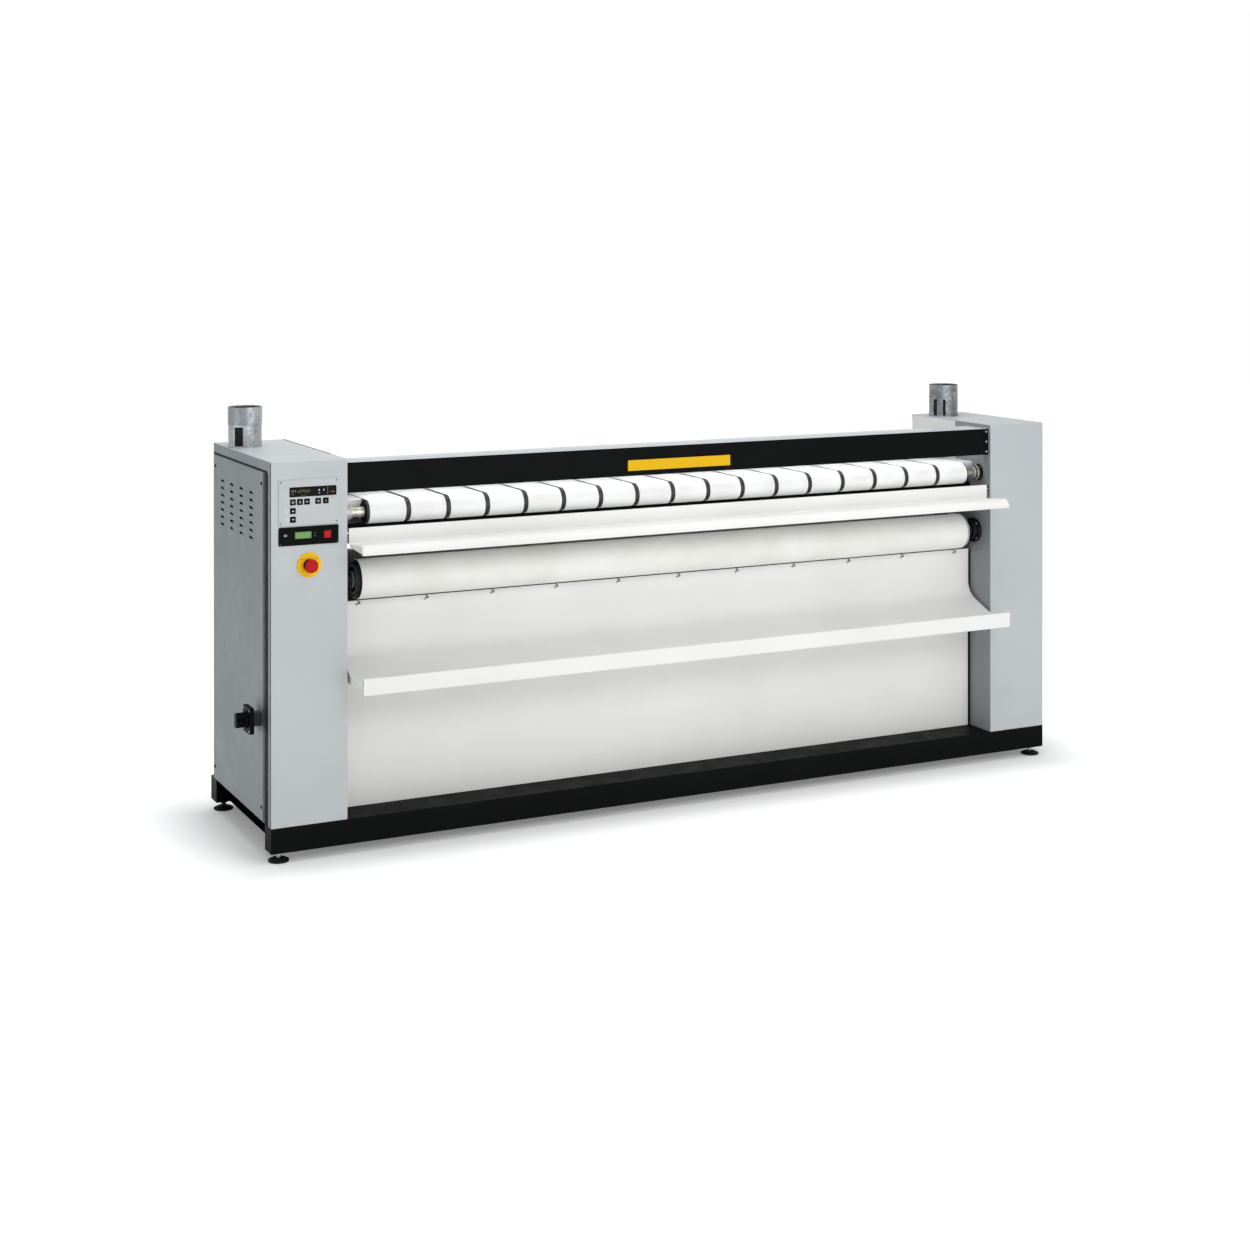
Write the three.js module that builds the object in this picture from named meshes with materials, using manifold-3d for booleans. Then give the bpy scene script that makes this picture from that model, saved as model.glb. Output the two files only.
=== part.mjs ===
// Flatwork ironer for a laundry: linen is laid on narrow feed belts at the front, is carried over
// a heated cylinder between two cabinets, and comes back out at the front over a belt-covered
// roller into a white tray.
// Millimetres, +Z up. The pieces are placed in machine coordinates: x runs from the outside of the
// left cabinet, y runs back from the cabinets' front faces and z rises from the floor.
import * as THREE from 'three';
import { mergeVertices } from 'three/addons/utils/BufferGeometryUtils.js';
import Module from 'manifold-3d';

const wasm = await Module();
wasm.setup();

// ---------------------------------------------------------------- driving dimensions
// Cabinets and base
const MACHINE_WIDTH = 2700;
const LEFT_CABINET_WIDTH = 224;
const RIGHT_CABINET_WIDTH = 218;
const CABINET_HEIGHT = 1030;
const LEFT_CABINET_DEPTH = 611;
const SHEET = 1.5; // folded cover sheet
const SIDE_PLATE = 5; // inner walls that carry the rollers
const GAP = 0.3; // between pieces that meet
const RUNNING_CLEARANCE = 0.45; // radial, round a shaft
const BEND_RADIUS = 2.4; // front to top of a cabinet
const BEAM_HEIGHT = 72;
const BEAM_DEPTH = 62;
const BEAM_WALL = 3;
const BEAM_END_BLOCK = 62; // solid end that a foot screws into
const REAR_BEAM_OVERHANG = 30; // behind the left cabinet
const FLOOR_PAN_HEIGHT = 30;
const FLOOR_PAN_INSET = 3;
const LEDGE_DEPTH = 64; // base top plate behind the front beam

// Levelling feet
const FOOT_HEIGHT = 29; // floor to underside of the beams
const FOOT_RADIUS = 30;
const FOOT_DISC = 11;
const FOOT_STUD_RADIUS = 7;
const FOOT_STUD_REACH = 30; // inside the beam
const FOOT_NUT_RADIUS = 12;
const FOOT_NUT_HEIGHT = 8;

// Left side: header, front stile, seal band and louvred side panel
const HEADER_HEIGHT = 28;
const STILE_DEPTH = 31;
const SEAL_BAND = 30;
const SEAL_LINE = 6;
const SEAL_THICKNESS = 4;
const SEAL_RECESS = 0.5;
const SEAL_CORNER_RADIUS = 14;
const PANEL_FLANGE = 14;
const LOUVRE_COLUMNS = 4;
const LOUVRE_ROWS = 7;
const LOUVRE_WIDTH = 44;
const LOUVRE_HEIGHT = 6;
const LOUVRE_COLUMN_PITCH = 103;
const LOUVRE_ROW_PITCH = 21.8;
const LOUVRE_FRONT = 197; // y of the first column's centre
const LOUVRE_TOP_DROP = 103; // cabinet top to the top row

// Rollers: radius, and where their axes lie
const BELT_THICKNESS = 1.6;
const BELT_CLEARANCE = 0.4;
const FEED_ROLLER_RADIUS = 33;
const FEED_ROLLER_SETBACK = 67;
const FEED_SHAFT_RADIUS = 15;
const TAIL_ROLLER_RADIUS = 20;
const TAIL_ROLLER_BACK = 168; // behind the feed roller
const REAR_SHAFT_RADIUS = 10;
const EXIT_ROLLER_RADIUS = 56;
const EXIT_ROLLER_SETBACK = 89;
const EXIT_ROLLER_DROP = 198; // below the feed roller's axis
const CYLINDER_RADIUS = 125;
const CYLINDER_WALL = 6;
const CYLINDER_END_PLATE = 10;
const JOURNAL_RADIUS = 35;
const JOURNAL_BORE = 26;
const UPPER_REAR_ROLLER_RADIUS = 25;
const LOWER_REAR_ROLLER_RADIUS = 22;
const RETURN_RUN_GAP = 8; // between the two runs of the ironing belt
const TRANSFER_GAP = 4; // between the cylinder and the rollers beside it
const REAR_COVER_GAP = 13; // behind the ironing belt
const LINER_SETBACK = 199; // white liner on the right inner wall
const LINER_THICKNESS = 2;
const COVER_FLANGE = 15;
const VENT_SLOTS = 6;
const VENT_PITCH = 22;
const VENT_HEIGHT = 7;
const VENT_LENGTH = 120;
const ROLLER_INSET_LEFT = 54;
const ROLLER_INSET_RIGHT = 46;
const EXIT_ROLLER_INSET_RIGHT = 67;
const FEED_BEARING = { flange: 28, flangeWidth: 6, hub: 22, width: 14 };
const EXIT_BEARING = { flange: 41, flangeWidth: 11, hub: 30, width: 24 };
const COLLAR_RADIUS = 19;
const COLLAR_WIDTH = 9;
const SHAFT_END = 12; // beyond the inner walls
const CYLINDER_INSET = 38;

// Feed belts
const FEED_BELT_WIDTH = 113;
const FEED_BELT_SPACING = 11.6;
const FEED_BELT_MARGIN = 20; // bare roller beyond the outer belts
const FEED_OPENING = 29; // belts to fascia

// Fascia, hood, shelf and tray
const FASCIA_HEIGHT = 87;
const FASCIA_DROP = 13; // below the cabinets' top
const FASCIA_SETBACK = 12;
const FASCIA_RETURN = 30;
const HOOD_FLAT_DEPTH = 113;
const HOOD_CLEARANCE = 5; // hood's rear edge above the upper rear roller
const HOOD_FLANGE = 20;
const SHELF_DROP = 37; // shelf's top edge below the feed roller's axis
const SHELF_SETBACK = 10;
const SHELF_PLATE_HEIGHT = 45;
const SHELF_REACH = 112; // nose in front of the cabinets
const SHELF_RISE = 14;
const SHELF_NOSE_RADIUS = 25;
const SHELF_LIP_HEIGHT = 32;
const SHELF_LIP_RETURN = 12;
const SHELF_END_GAP = 8;
const TRAY_SETBACK = 113;
const TRAY_TOP_DROP = 65; // below the exit roller's axis
const TRAY_TOP_FLANGE = 26;
const TRAY_WALL_HEIGHT = 149;
const TRAY_BEND_RADIUS = 60;
const TRAY_SLOPE_DEPTH = 121;
const TRAY_SLOPE_FALL = 50;
const TRAY_FLOOR_DEPTH = 100;
const TRAY_FLOOR_FALL = 10;
const TRAY_LIP_RISE = 27;
const TRAY_LIP_HEIGHT = 48;
const TRAY_LIP_THICKNESS = 9;
const TRAY_LIP_RETURN = 16;
const TRAY_END_GAP = 9;
const CLIP_COUNT = 11;
const CLIP_INSET = 61; // outer clips from the tray's ends
const CLIP_WIDTH = 7;
const CLIP_WIRE = 1.2;
const CLIP_DROP = 12;
const CLIP_ROD_RADIUS = 2.5;

// Exhaust stacks
const STACK_RADIUS = 50;
const STACK_WALL = 1.5;
const STACK_HEIGHT = 110;
const STACK_DEPTH_INSIDE = 25;
const STACK_SLEEVE_HEIGHT = 54;
const STACK_SLOT_HEIGHT = 60;
const STACK_TAB = 12;
const LEFT_STACK = { x: 58, y: 468, rise: 9.5, sleeve: true, slots: [{ turn: -128, width: 27 }] };
const RIGHT_STACK_INSET = 148; // from the right outside
const RIGHT_STACK_SETBACK = 367;

// Control area on the left cabinet's front
const CONTROL_PLATE_LEFT = 21;
const CONTROL_PLATE_RIGHT = 27;
const CONTROL_PLATE_DROP = 52;
const CONTROL_PLATE_HEIGHT = 129;
const CONTROL_PLATE_THICKNESS = 2;
const DISPLAY_LEFT = 31.5;
const DISPLAY_RIGHT = 6.5;
const DISPLAY_DROP = 21;
const DISPLAY_HEIGHT = 27.5;
const KEY_SHARE = 0.1196; // of the display's width
const KEY_PROUD = 1.4;
const KEY_FLANGE = 1.2;
const KEY_FLANGE_EDGE = 1.5;
const KEY_ROW_DROP = 63;
const KEY_SIDE_PITCH = 24.5;
const MODE_PLATE_SPACING = 4;
const MODE_PLATE_HEIGHT = 52.5;
const LCD_LEFT = 48;
const LCD_DROP = 15;
const LCD_WIDTH = 47.5;
const LCD_HEIGHT = 19;
const RED_KEY_SIZE = 20.5;
const RED_KEY_RIGHT = 33;
const RED_KEY_DROP = 26;
const STOP_LEFT = 110;
const STOP_DROP = 295;
const STOP_COLLAR_RADIUS = 35.5;
const STOP_COLLAR_THICKNESS = 4;
const STOP_BARREL_RADIUS = 13;
const STOP_HEAD_RADIUS = 20;
const STOP_HEAD_DEPTH = 18;
const STOP_HEAD_STANDOFF = 9; // collar to the back of the head
const STOP_STEM_RADIUS = 8;
const STOP_TRAVEL = 4;

// Isolator switch on the left side
const ISOLATOR_SETBACK = 108;
const ISOLATOR_HEIGHT = 290; // above the base
const ISOLATOR_NECK = 37;
const ISOLATOR_NECK_LENGTH = 28;
const ISOLATOR_PLATE = 75;
const ISOLATOR_PLATE_THICKNESS = 12;
const ISOLATOR_BODY = 56;
const ISOLATOR_BODY_DEPTH = 42;
const KNOB_LENGTH = 32;
const KNOB_BASE_RADIUS = 25;
const KNOB_BASE_THICKNESS = 8;
const KNOB_GRIP_LENGTH = 43;
const KNOB_GRIP_WIDTH = 19;
const KNOB_LOBE_RADIUS = 12.5;

// Drive and burner in and beyond the left cabinet
const SPROCKET_RADIUS = 80;
const SPROCKET_TEETH = 24;
const MOTOR_SPROCKET_TEETH = 9;
const TOOTH_DEPTH = 6;
const SPROCKET_WIDTH = 8;
const SPROCKET_OFFSET = 70; // from the inner wall
const MOTOR_SPROCKET_RADIUS = 30;
const MOTOR_SHAFT_RADIUS = 12;
const MOTOR_DROP = 316; // below the cylinder's axis
const CHAIN_THICKNESS = 7;
const GEARBOX_WIDTH = 50;
const GEARBOX_SIZE = 116;
const MOTOR_RADIUS = 50;
const MOTOR_REAR_CLEARANCE = 54; // motor's end to the rear cover
const JOURNAL_BEYOND_SPROCKET = 22;
const BURNER_RADIUS = 21;
const BURNER_WALL = 2;
const BURNER_STANDOFF = 8; // bracket plate beyond the journal
const BURNER_END_GAP = 60;
const BURNER_LEG = 8;
const BURNER_LEG_SPACING = 19; // sprocket's rim to the legs
const BOSS_WALL = 14;
const BOSS_LENGTH = 14;

// Facets round a circle
const ROUND = 24;
const FINE_ROUND = 36;
const FOOT_ROUND = 16;
const BEND_STEP = 18; // degrees
const CHORD_SHARE = 0.85; // of a belt's clearance that its facets may dip

// ---------------------------------------------------------------- places worked out from them
const BASE_TOP = FOOT_HEIGHT + BEAM_HEIGHT;
const CABINET_TOP = BASE_TOP + CABINET_HEIGHT;
const INNER_LEFT = LEFT_CABINET_WIDTH; // faces that look into the machine
const INNER_RIGHT = MACHINE_WIDTH - RIGHT_CABINET_WIDTH;
const REAR_EDGE = LEFT_CABINET_DEPTH + REAR_BEAM_OVERHANG;
const BELT_BUILD = BELT_THICKNESS + BELT_CLEARANCE;
const FASCIA_TOP = CABINET_TOP - FASCIA_DROP;
const FASCIA_BOTTOM = FASCIA_TOP - FASCIA_HEIGHT;
const FEED_TOP = FASCIA_BOTTOM - FEED_OPENING;

const FEED_AXIS = { y: FEED_ROLLER_SETBACK, z: FEED_TOP - BELT_BUILD - FEED_ROLLER_RADIUS };
const TAIL_AXIS = {
  y: FEED_AXIS.y + TAIL_ROLLER_BACK,
  z: FEED_TOP - BELT_BUILD - TAIL_ROLLER_RADIUS,
};
const EXIT_AXIS = { y: EXIT_ROLLER_SETBACK, z: FEED_AXIS.z - EXIT_ROLLER_DROP };
const RETURN_RUN_TOP = EXIT_AXIS.z - EXIT_ROLLER_RADIUS - BELT_CLEARANCE;
const CYLINDER_Z = RETURN_RUN_TOP + RETURN_RUN_GAP + BELT_BUILD + CYLINDER_RADIUS;
// The cylinder lies as near the tail roller as the transfer gap allows, lower and behind it.
const CYLINDER_TO_TAIL = CYLINDER_RADIUS + TAIL_ROLLER_RADIUS + BELT_BUILD + TRANSFER_GAP;
const CYLINDER_AXIS = {
  y: TAIL_AXIS.y + legOf(CYLINDER_TO_TAIL, TAIL_AXIS.z - CYLINDER_Z),
  z: CYLINDER_Z,
};
const RETURN_RUN_Y = CYLINDER_AXIS.y + CYLINDER_RADIUS + BELT_BUILD + RETURN_RUN_GAP + BELT_THICKNESS;
const UPPER_REAR_Y = RETURN_RUN_Y - BELT_BUILD - UPPER_REAR_ROLLER_RADIUS;
const CYLINDER_TO_UPPER = CYLINDER_RADIUS + UPPER_REAR_ROLLER_RADIUS + BELT_BUILD + TRANSFER_GAP;
const UPPER_REAR_AXIS = {
  y: UPPER_REAR_Y,
  z: CYLINDER_AXIS.z + legOf(CYLINDER_TO_UPPER, UPPER_REAR_Y - CYLINDER_AXIS.y),
};
const LOWER_REAR_AXIS = {
  y: RETURN_RUN_Y - BELT_BUILD - LOWER_REAR_ROLLER_RADIUS,
  z: RETURN_RUN_TOP + BELT_CLEARANCE + LOWER_REAR_ROLLER_RADIUS,
};
const DISPLAY_WIDTH = LEFT_CABINET_WIDTH - CONTROL_PLATE_LEFT - CONTROL_PLATE_RIGHT
  - DISPLAY_LEFT - DISPLAY_RIGHT;
const KEY_SIZE = DISPLAY_WIDTH * KEY_SHARE;
const RIGHT_CABINET_DEPTH = RETURN_RUN_Y + REAR_COVER_GAP + SHEET;

const ROLLER_LEFT = INNER_LEFT + ROLLER_INSET_LEFT;
const ROLLER_RIGHT = INNER_RIGHT - ROLLER_INSET_RIGHT;
const SHELF_TOP = FEED_AXIS.z - SHELF_DROP;
const TRAY_TOP = EXIT_AXIS.z - TRAY_TOP_DROP;
const TRAY_LEFT = INNER_LEFT + TRAY_END_GAP;
const TRAY_RIGHT = INNER_RIGHT - TRAY_END_GAP;
const SPROCKET_X = INNER_LEFT - SIDE_PLATE - SPROCKET_OFFSET;
const MOTOR_AXIS = { y: CYLINDER_AXIS.y, z: CYLINDER_AXIS.z - MOTOR_DROP };
const RIGHT_STACK = {
  x: MACHINE_WIDTH - RIGHT_STACK_INSET,
  y: RIGHT_STACK_SETBACK,
  rise: 0,
  sleeve: false,
  slots: [{ turn: -160, width: 14 }, { turn: -122, width: 9 }],
};

/** The other short side of a right triangle, or zero where the known side is already the longer. */
function legOf(hypotenuse, leg) {
  return Math.sqrt(Math.max(0, hypotenuse * hypotenuse - leg * leg));
}

// ---------------------------------------------------------------- shapes
/** A box between two corners. */
function box(x0, x1, y0, y1, z0, z1) {
  const geometry = new THREE.BoxGeometry(x1 - x0, y1 - y0, z1 - z0);
  return geometry.translate((x0 + x1) / 2, (y0 + y1) / 2, (z0 + z1) / 2);
}

/** A round bar along X, Y or Z; `at` gives the other two coordinates of its axis. */
function bar(axis, from, to, radius, at, facets = ROUND) {
  const geometry = new THREE.CylinderGeometry(radius, radius, to - from, facets);
  const middle = (from + to) / 2;
  if (axis === 'x') {
    return geometry.rotateZ(Math.PI / 2).translate(middle, at.y, at.z);
  }
  if (axis === 'y') {
    return geometry.translate(at.x, middle, at.z);
  }
  return geometry.rotateX(Math.PI / 2).translate(at.x, at.y, middle);
}

/** An outline of [y, z] points, with holes, carried along X. */
function prism(outline, x0, x1, holes = []) {
  const shape = new THREE.Shape(outline.map(([y, z]) => new THREE.Vector2(y, z)));
  for (const hole of holes) {
    shape.holes.push(new THREE.Path(hole.map(([y, z]) => new THREE.Vector2(y, z))));
  }
  const geometry = new THREE.ExtrudeGeometry(shape, { depth: x1 - x0, bevelEnabled: false });
  const axes = new THREE.Matrix4().set(0, 0, 1, x0, 1, 0, 0, 0, 0, 1, 0, 0, 0, 0, 0, 1);
  return geometry.applyMatrix4(axes);
}

/** A profile of [radius, height] points turned about a line along Z through `at`. */
function turned(profile, at, facets = ROUND) {
  const points = profile.map(([radius, height]) => new THREE.Vector2(radius, height));
  const geometry = new THREE.LatheGeometry(points, facets).rotateX(Math.PI / 2);
  return geometry.translate(at.x, at.y, at.z);
}

/** A path of [y, z, radius] corners with each corner rounded to its radius. */
function rounded(corners) {
  const path = [];
  corners.forEach(([y, z, radius = 0], index) => {
    if (!radius || index === 0 || index === corners.length - 1) {
      path.push([y, z]);
      return;
    }
    const here = new THREE.Vector2(y, z);
    const back = new THREE.Vector2(...corners[index - 1].slice(0, 2)).sub(here).normalize();
    const ahead = new THREE.Vector2(...corners[index + 1].slice(0, 2)).sub(here).normalize();
    const half = Math.acos(THREE.MathUtils.clamp(back.dot(ahead), -1, 1)) / 2;
    const centre = back.clone().add(ahead).normalize().multiplyScalar(radius / Math.sin(half));
    centre.add(here);
    const reach = radius / Math.tan(half);
    const start = back.multiplyScalar(reach).add(here).sub(centre);
    const end = ahead.multiplyScalar(reach).add(here).sub(centre);
    const sweep = Math.atan2(start.cross(end), start.dot(end));
    const steps = Math.max(2, Math.ceil(Math.abs(sweep) / THREE.MathUtils.degToRad(BEND_STEP)));
    for (let step = 0; step <= steps; step += 1) {
      const point = start.clone().rotateAround(new THREE.Vector2(), (sweep * step) / steps);
      path.push([centre.x + point.x, centre.y + point.y]);
    }
  });
  return path;
}

/** The outline of a sheet whose one face follows `path` and whose other lies to its left. */
function bentSheet(path, thickness = SHEET) {
  const points = path.map(([y, z]) => new THREE.Vector2(y, z));
  const leftOf = (from, to) => new THREE.Vector2(from.y - to.y, to.x - from.x).normalize();
  const offset = points.map((point, index) => {
    const before = points[Math.max(index - 1, 0)];
    const after = points[Math.min(index + 1, points.length - 1)];
    const into = index ? leftOf(before, point) : leftOf(point, after);
    const out = index < points.length - 1 ? leftOf(point, after) : into;
    const mitre = into.clone().add(out).normalize();
    return mitre.multiplyScalar(thickness / mitre.dot(out)).add(point);
  });
  return [...path, ...offset.reverse().map((point) => [point.x, point.y])];
}

/**
 * A closed belt line round circular stops, taken anticlockwise in the Y-Z plane. A stop with
 * side 1 lies inside the loop and one with side -1 outside it. Straight runs follow the common
 * tangents, and `outward` moves the whole line away from the inside of the loop.
 */
function beltLine(stops, outward) {
  const radii = stops.map((stop) => stop.radius + outward * stop.side);
  const normals = stops.map((stop, index) => {
    const next = (index + 1) % stops.length;
    const span = new THREE.Vector2(stops[next].y - stop.y, stops[next].z - stop.z);
    const rise = stops[next].side * radii[next] - stop.side * radii[index];
    return span.angle() + Math.acos(rise / span.length());
  });
  const line = [];
  stops.forEach((stop, index) => {
    const turn = stop.side > 0 ? Math.PI : 0;
    const start = normals[(index + stops.length - 1) % stops.length] + turn;
    const end = normals[index] + turn;
    const full = Math.PI * 2;
    const sweep = ((((end - start) * stop.side) % full) + full) % full;
    const facet = 2 * Math.acos(1 - (BELT_CLEARANCE * CHORD_SHARE) / stop.radius);
    const steps = Math.max(1, Math.ceil(sweep / facet));
    for (let step = 0; step <= steps; step += 1) {
      const angle = start + (stop.side * sweep * step) / steps;
      line.push([stop.y + radii[index] * Math.cos(angle), stop.z + radii[index] * Math.sin(angle)]);
    }
  });
  return line;
}

/** A belt of the given thickness round its stops, from x0 to x1. */
function belt(stops, thickness, x0, x1) {
  return prism(beltLine(stops, thickness), x0, x1, [beltLine(stops, 0)]);
}

function stopAt(axis, radius, side = 1) {
  return { y: axis.y, z: axis.z, radius, side };
}

// ---------------------------------------------------------------- joins and cuts
function solid(geometry) {
  const bare = geometry.clone();
  bare.deleteAttribute('normal');
  bare.deleteAttribute('uv');
  const merged = mergeVertices(bare, 1e-4);
  return new wasm.Manifold(new wasm.Mesh({
    numProp: 3,
    vertProperties: new Float32Array(merged.attributes.position.array),
    triVerts: new Uint32Array(merged.index.array),
  }));
}

function asGeometry(body) {
  const mesh = body.getMesh();
  const geometry = new THREE.BufferGeometry();
  geometry.setAttribute('position', new THREE.BufferAttribute(mesh.vertProperties, 3));
  geometry.setIndex(new THREE.BufferAttribute(mesh.triVerts, 1));
  geometry.computeVertexNormals();
  return geometry;
}

function joined(geometries) {
  return geometries.map(solid).reduce((whole, piece) => whole.add(piece));
}

/** Joins the first list of geometries and cuts the second list from them. */
function carve(additions, cuts = []) {
  let body = joined(additions);
  for (const cut of cuts) {
    body = body.subtract(solid(cut));
  }
  return asGeometry(body);
}

// ---------------------------------------------------------------- finishes
function finish(color, roughness, metalness = 0) {
  return new THREE.MeshStandardMaterial({ color, roughness, metalness });
}

const GREY_PAINT = finish('#b4babd', 0.45, 0.1);
const SIDE_PAINT = finish('#8f9496', 0.5, 0.1);
const WHITE_PAINT = finish('#eff0ef', 0.4);
const BLACK_PAINT = finish('#16191b', 0.45);
const BLACK_PLASTIC = finish('#1a1c1d', 0.35);
const BLACK_RUBBER = finish('#0f1011', 0.8);
const GALVANISED = finish('#aab0b2', 0.45, 0.8);
const STEEL = finish('#9a9890', 0.3, 1);
const WALL_PAINT = finish('#54585a', 0.5, 0.1);
const WHITE_FELT = finish('#f4f4f2', 0.9);
const BELT_CLOTH = finish('#e8e7e2', 0.9);
const YELLOW_PLASTIC = finish('#f2c400', 0.4);
const RED_PLASTIC = finish('#c4161c', 0.35);
const LCD_GLASS = finish('#6f9a58', 0.2);
const CAST_GREY = finish('#6d7274', 0.6, 0.6);
const SILVER_FOIL = finish('#ccd0d2', 0.4, 0.3);

const ironer = new THREE.Group();

function add(name, geometry, material) {
  const mesh = new THREE.Mesh(geometry, material);
  mesh.name = name;
  ironer.add(mesh);
  return mesh;
}

// ---------------------------------------------------------------- base
/** A folded beam along X, open below between its two solid ends, with bores for the feet. */
function baseBeam(y0, extra) {
  const z1 = BASE_TOP;
  const hollow = box(
    BEAM_END_BLOCK, MACHINE_WIDTH - BEAM_END_BLOCK,
    y0 + BEAM_WALL, y0 + BEAM_DEPTH - BEAM_WALL,
    FOOT_HEIGHT - 1, z1 - BEAM_WALL,
  );
  const bores = footPlaces().map((x) => bar(
    'z', FOOT_HEIGHT - 1, FOOT_HEIGHT + FOOT_STUD_REACH + GAP * 2,
    FOOT_STUD_RADIUS + GAP, { x, y: y0 + BEAM_DEPTH / 2 }, FOOT_ROUND,
  ));
  return carve(
    [box(0, MACHINE_WIDTH, y0, y0 + BEAM_DEPTH, FOOT_HEIGHT, z1), ...extra],
    [hollow, ...bores],
  );
}

function footPlaces() {
  return [BEAM_END_BLOCK / 2, MACHINE_WIDTH - BEAM_END_BLOCK / 2];
}

function foot(x, y) {
  const nutTop = FOOT_HEIGHT - GAP;
  const nutBottom = nutTop - FOOT_NUT_HEIGHT;
  const studTop = FOOT_HEIGHT + FOOT_STUD_REACH;
  const profile = [
    [0, 0],
    [FOOT_RADIUS - 1, 0],
    [FOOT_RADIUS, 1],
    [FOOT_RADIUS, FOOT_DISC * 0.5],
    [FOOT_RADIUS * 0.6, FOOT_DISC],
    [FOOT_STUD_RADIUS, FOOT_DISC],
    [FOOT_STUD_RADIUS, nutBottom],
    [FOOT_NUT_RADIUS, nutBottom],
    [FOOT_NUT_RADIUS, nutTop],
    [FOOT_STUD_RADIUS, nutTop],
    [FOOT_STUD_RADIUS, studTop],
    [0, studTop],
  ];
  return carve([turned(profile, { x, y, z: 0 }, FOOT_ROUND)]);
}

/** A shallow pan between the two beams, open below, that closes a cabinet's floor. */
function floorPan(x0, x1) {
  const y0 = BEAM_DEPTH + GAP;
  const y1 = REAR_EDGE - BEAM_DEPTH - GAP;
  const z0 = BASE_TOP - FLOOR_PAN_HEIGHT;
  const outer = box(x0, x1, y0, y1, z0, BASE_TOP);
  const inner = box(
    x0 + BEAM_WALL, x1 - BEAM_WALL,
    y0 + BEAM_WALL, y1 - BEAM_WALL,
    z0 - 1, BASE_TOP - BEAM_WALL,
  );
  return carve([outer], [inner]);
}

function buildBase() {
  const ledge = box(
    INNER_LEFT + GAP, INNER_RIGHT - GAP,
    BEAM_DEPTH - 1, BEAM_DEPTH + LEDGE_DEPTH, BASE_TOP - BEAM_WALL, BASE_TOP,
  );
  const rearBeam = REAR_EDGE - BEAM_DEPTH;
  add('front_beam', baseBeam(0, [ledge]), BLACK_PAINT);
  add('rear_beam', baseBeam(rearBeam, []), BLACK_PAINT);
  add('left_floor_pan', floorPan(FLOOR_PAN_INSET, INNER_LEFT), BLACK_PAINT);
  add('right_floor_pan', floorPan(INNER_RIGHT, MACHINE_WIDTH - FLOOR_PAN_INSET), BLACK_PAINT);
  for (const [end, x] of [['left', footPlaces()[0]], ['right', footPlaces()[1]]]) {
    add(`front_${end}_foot`, foot(x, BEAM_DEPTH / 2), BLACK_RUBBER);
    add(`rear_${end}_foot`, foot(x, rearBeam + BEAM_DEPTH / 2), BLACK_RUBBER);
  }
}

// ---------------------------------------------------------------- cabinets
/** Front and top of a cabinet in one bent sheet, with a flange down its rear edge. */
function frontAndTop(x0, x1, depth) {
  return prism(bentSheet(rounded([
    [depth, CABINET_TOP - COVER_FLANGE],
    [depth, CABINET_TOP],
    [0, CABINET_TOP, BEND_RADIUS],
    [0, BASE_TOP + GAP],
  ])), x0, x1);
}

function stackHole(stack) {
  return bar('z', CABINET_TOP - SHEET - 1, CABINET_TOP + 1, STACK_RADIUS + GAP, stack, FINE_ROUND);
}

/** Every shaft that the inner walls carry: where it runs, its radius and whether it has a boss. */
function shafts() {
  return [
    { at: FEED_AXIS, radius: FEED_SHAFT_RADIUS, boss: false },
    { at: EXIT_AXIS, radius: FEED_SHAFT_RADIUS, boss: false },
    { at: TAIL_AXIS, radius: REAR_SHAFT_RADIUS, boss: true },
    { at: UPPER_REAR_AXIS, radius: REAR_SHAFT_RADIUS, boss: true },
    { at: LOWER_REAR_AXIS, radius: REAR_SHAFT_RADIUS, boss: true },
    { at: CYLINDER_AXIS, radius: JOURNAL_RADIUS, boss: true },
  ];
}

function shaftHoles(x0, x1) {
  return shafts().map(({ at, radius }) => bar('x', x0 - 1, x1 + 1, radius + RUNNING_CLEARANCE, at));
}

/** A load-carrying plate with bearing bosses on the cabinet's side, from x0 to x1. */
function innerWall(x0, x1, depth, bossX, pocket = []) {
  const edge = SHEET + GAP;
  const plate = box(x0, x1, edge, depth - edge, BASE_TOP + GAP, CABINET_TOP - edge);
  const from = Math.min(bossX, x0);
  const to = Math.max(bossX, x1);
  const bosses = shafts().filter(({ boss }) => boss).map(({ at, radius }) => (
    bar('x', bossX < x0 ? from : x0 + 1, bossX < x0 ? x1 - 1 : to, radius + BOSS_WALL, at)
  ));
  return carve([plate, ...bosses], [...pocket, ...shaftHoles(from, to)]);
}

function ventSlots(x0, x1, y0, y1, top) {
  const slots = [];
  for (let row = 0; row < VENT_SLOTS; row += 1) {
    const z1 = top - row * VENT_PITCH;
    slots.push(box(x0, x1, y0 - 1, y1 + 1, z1 - VENT_HEIGHT, z1));
  }
  return slots;
}

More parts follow.
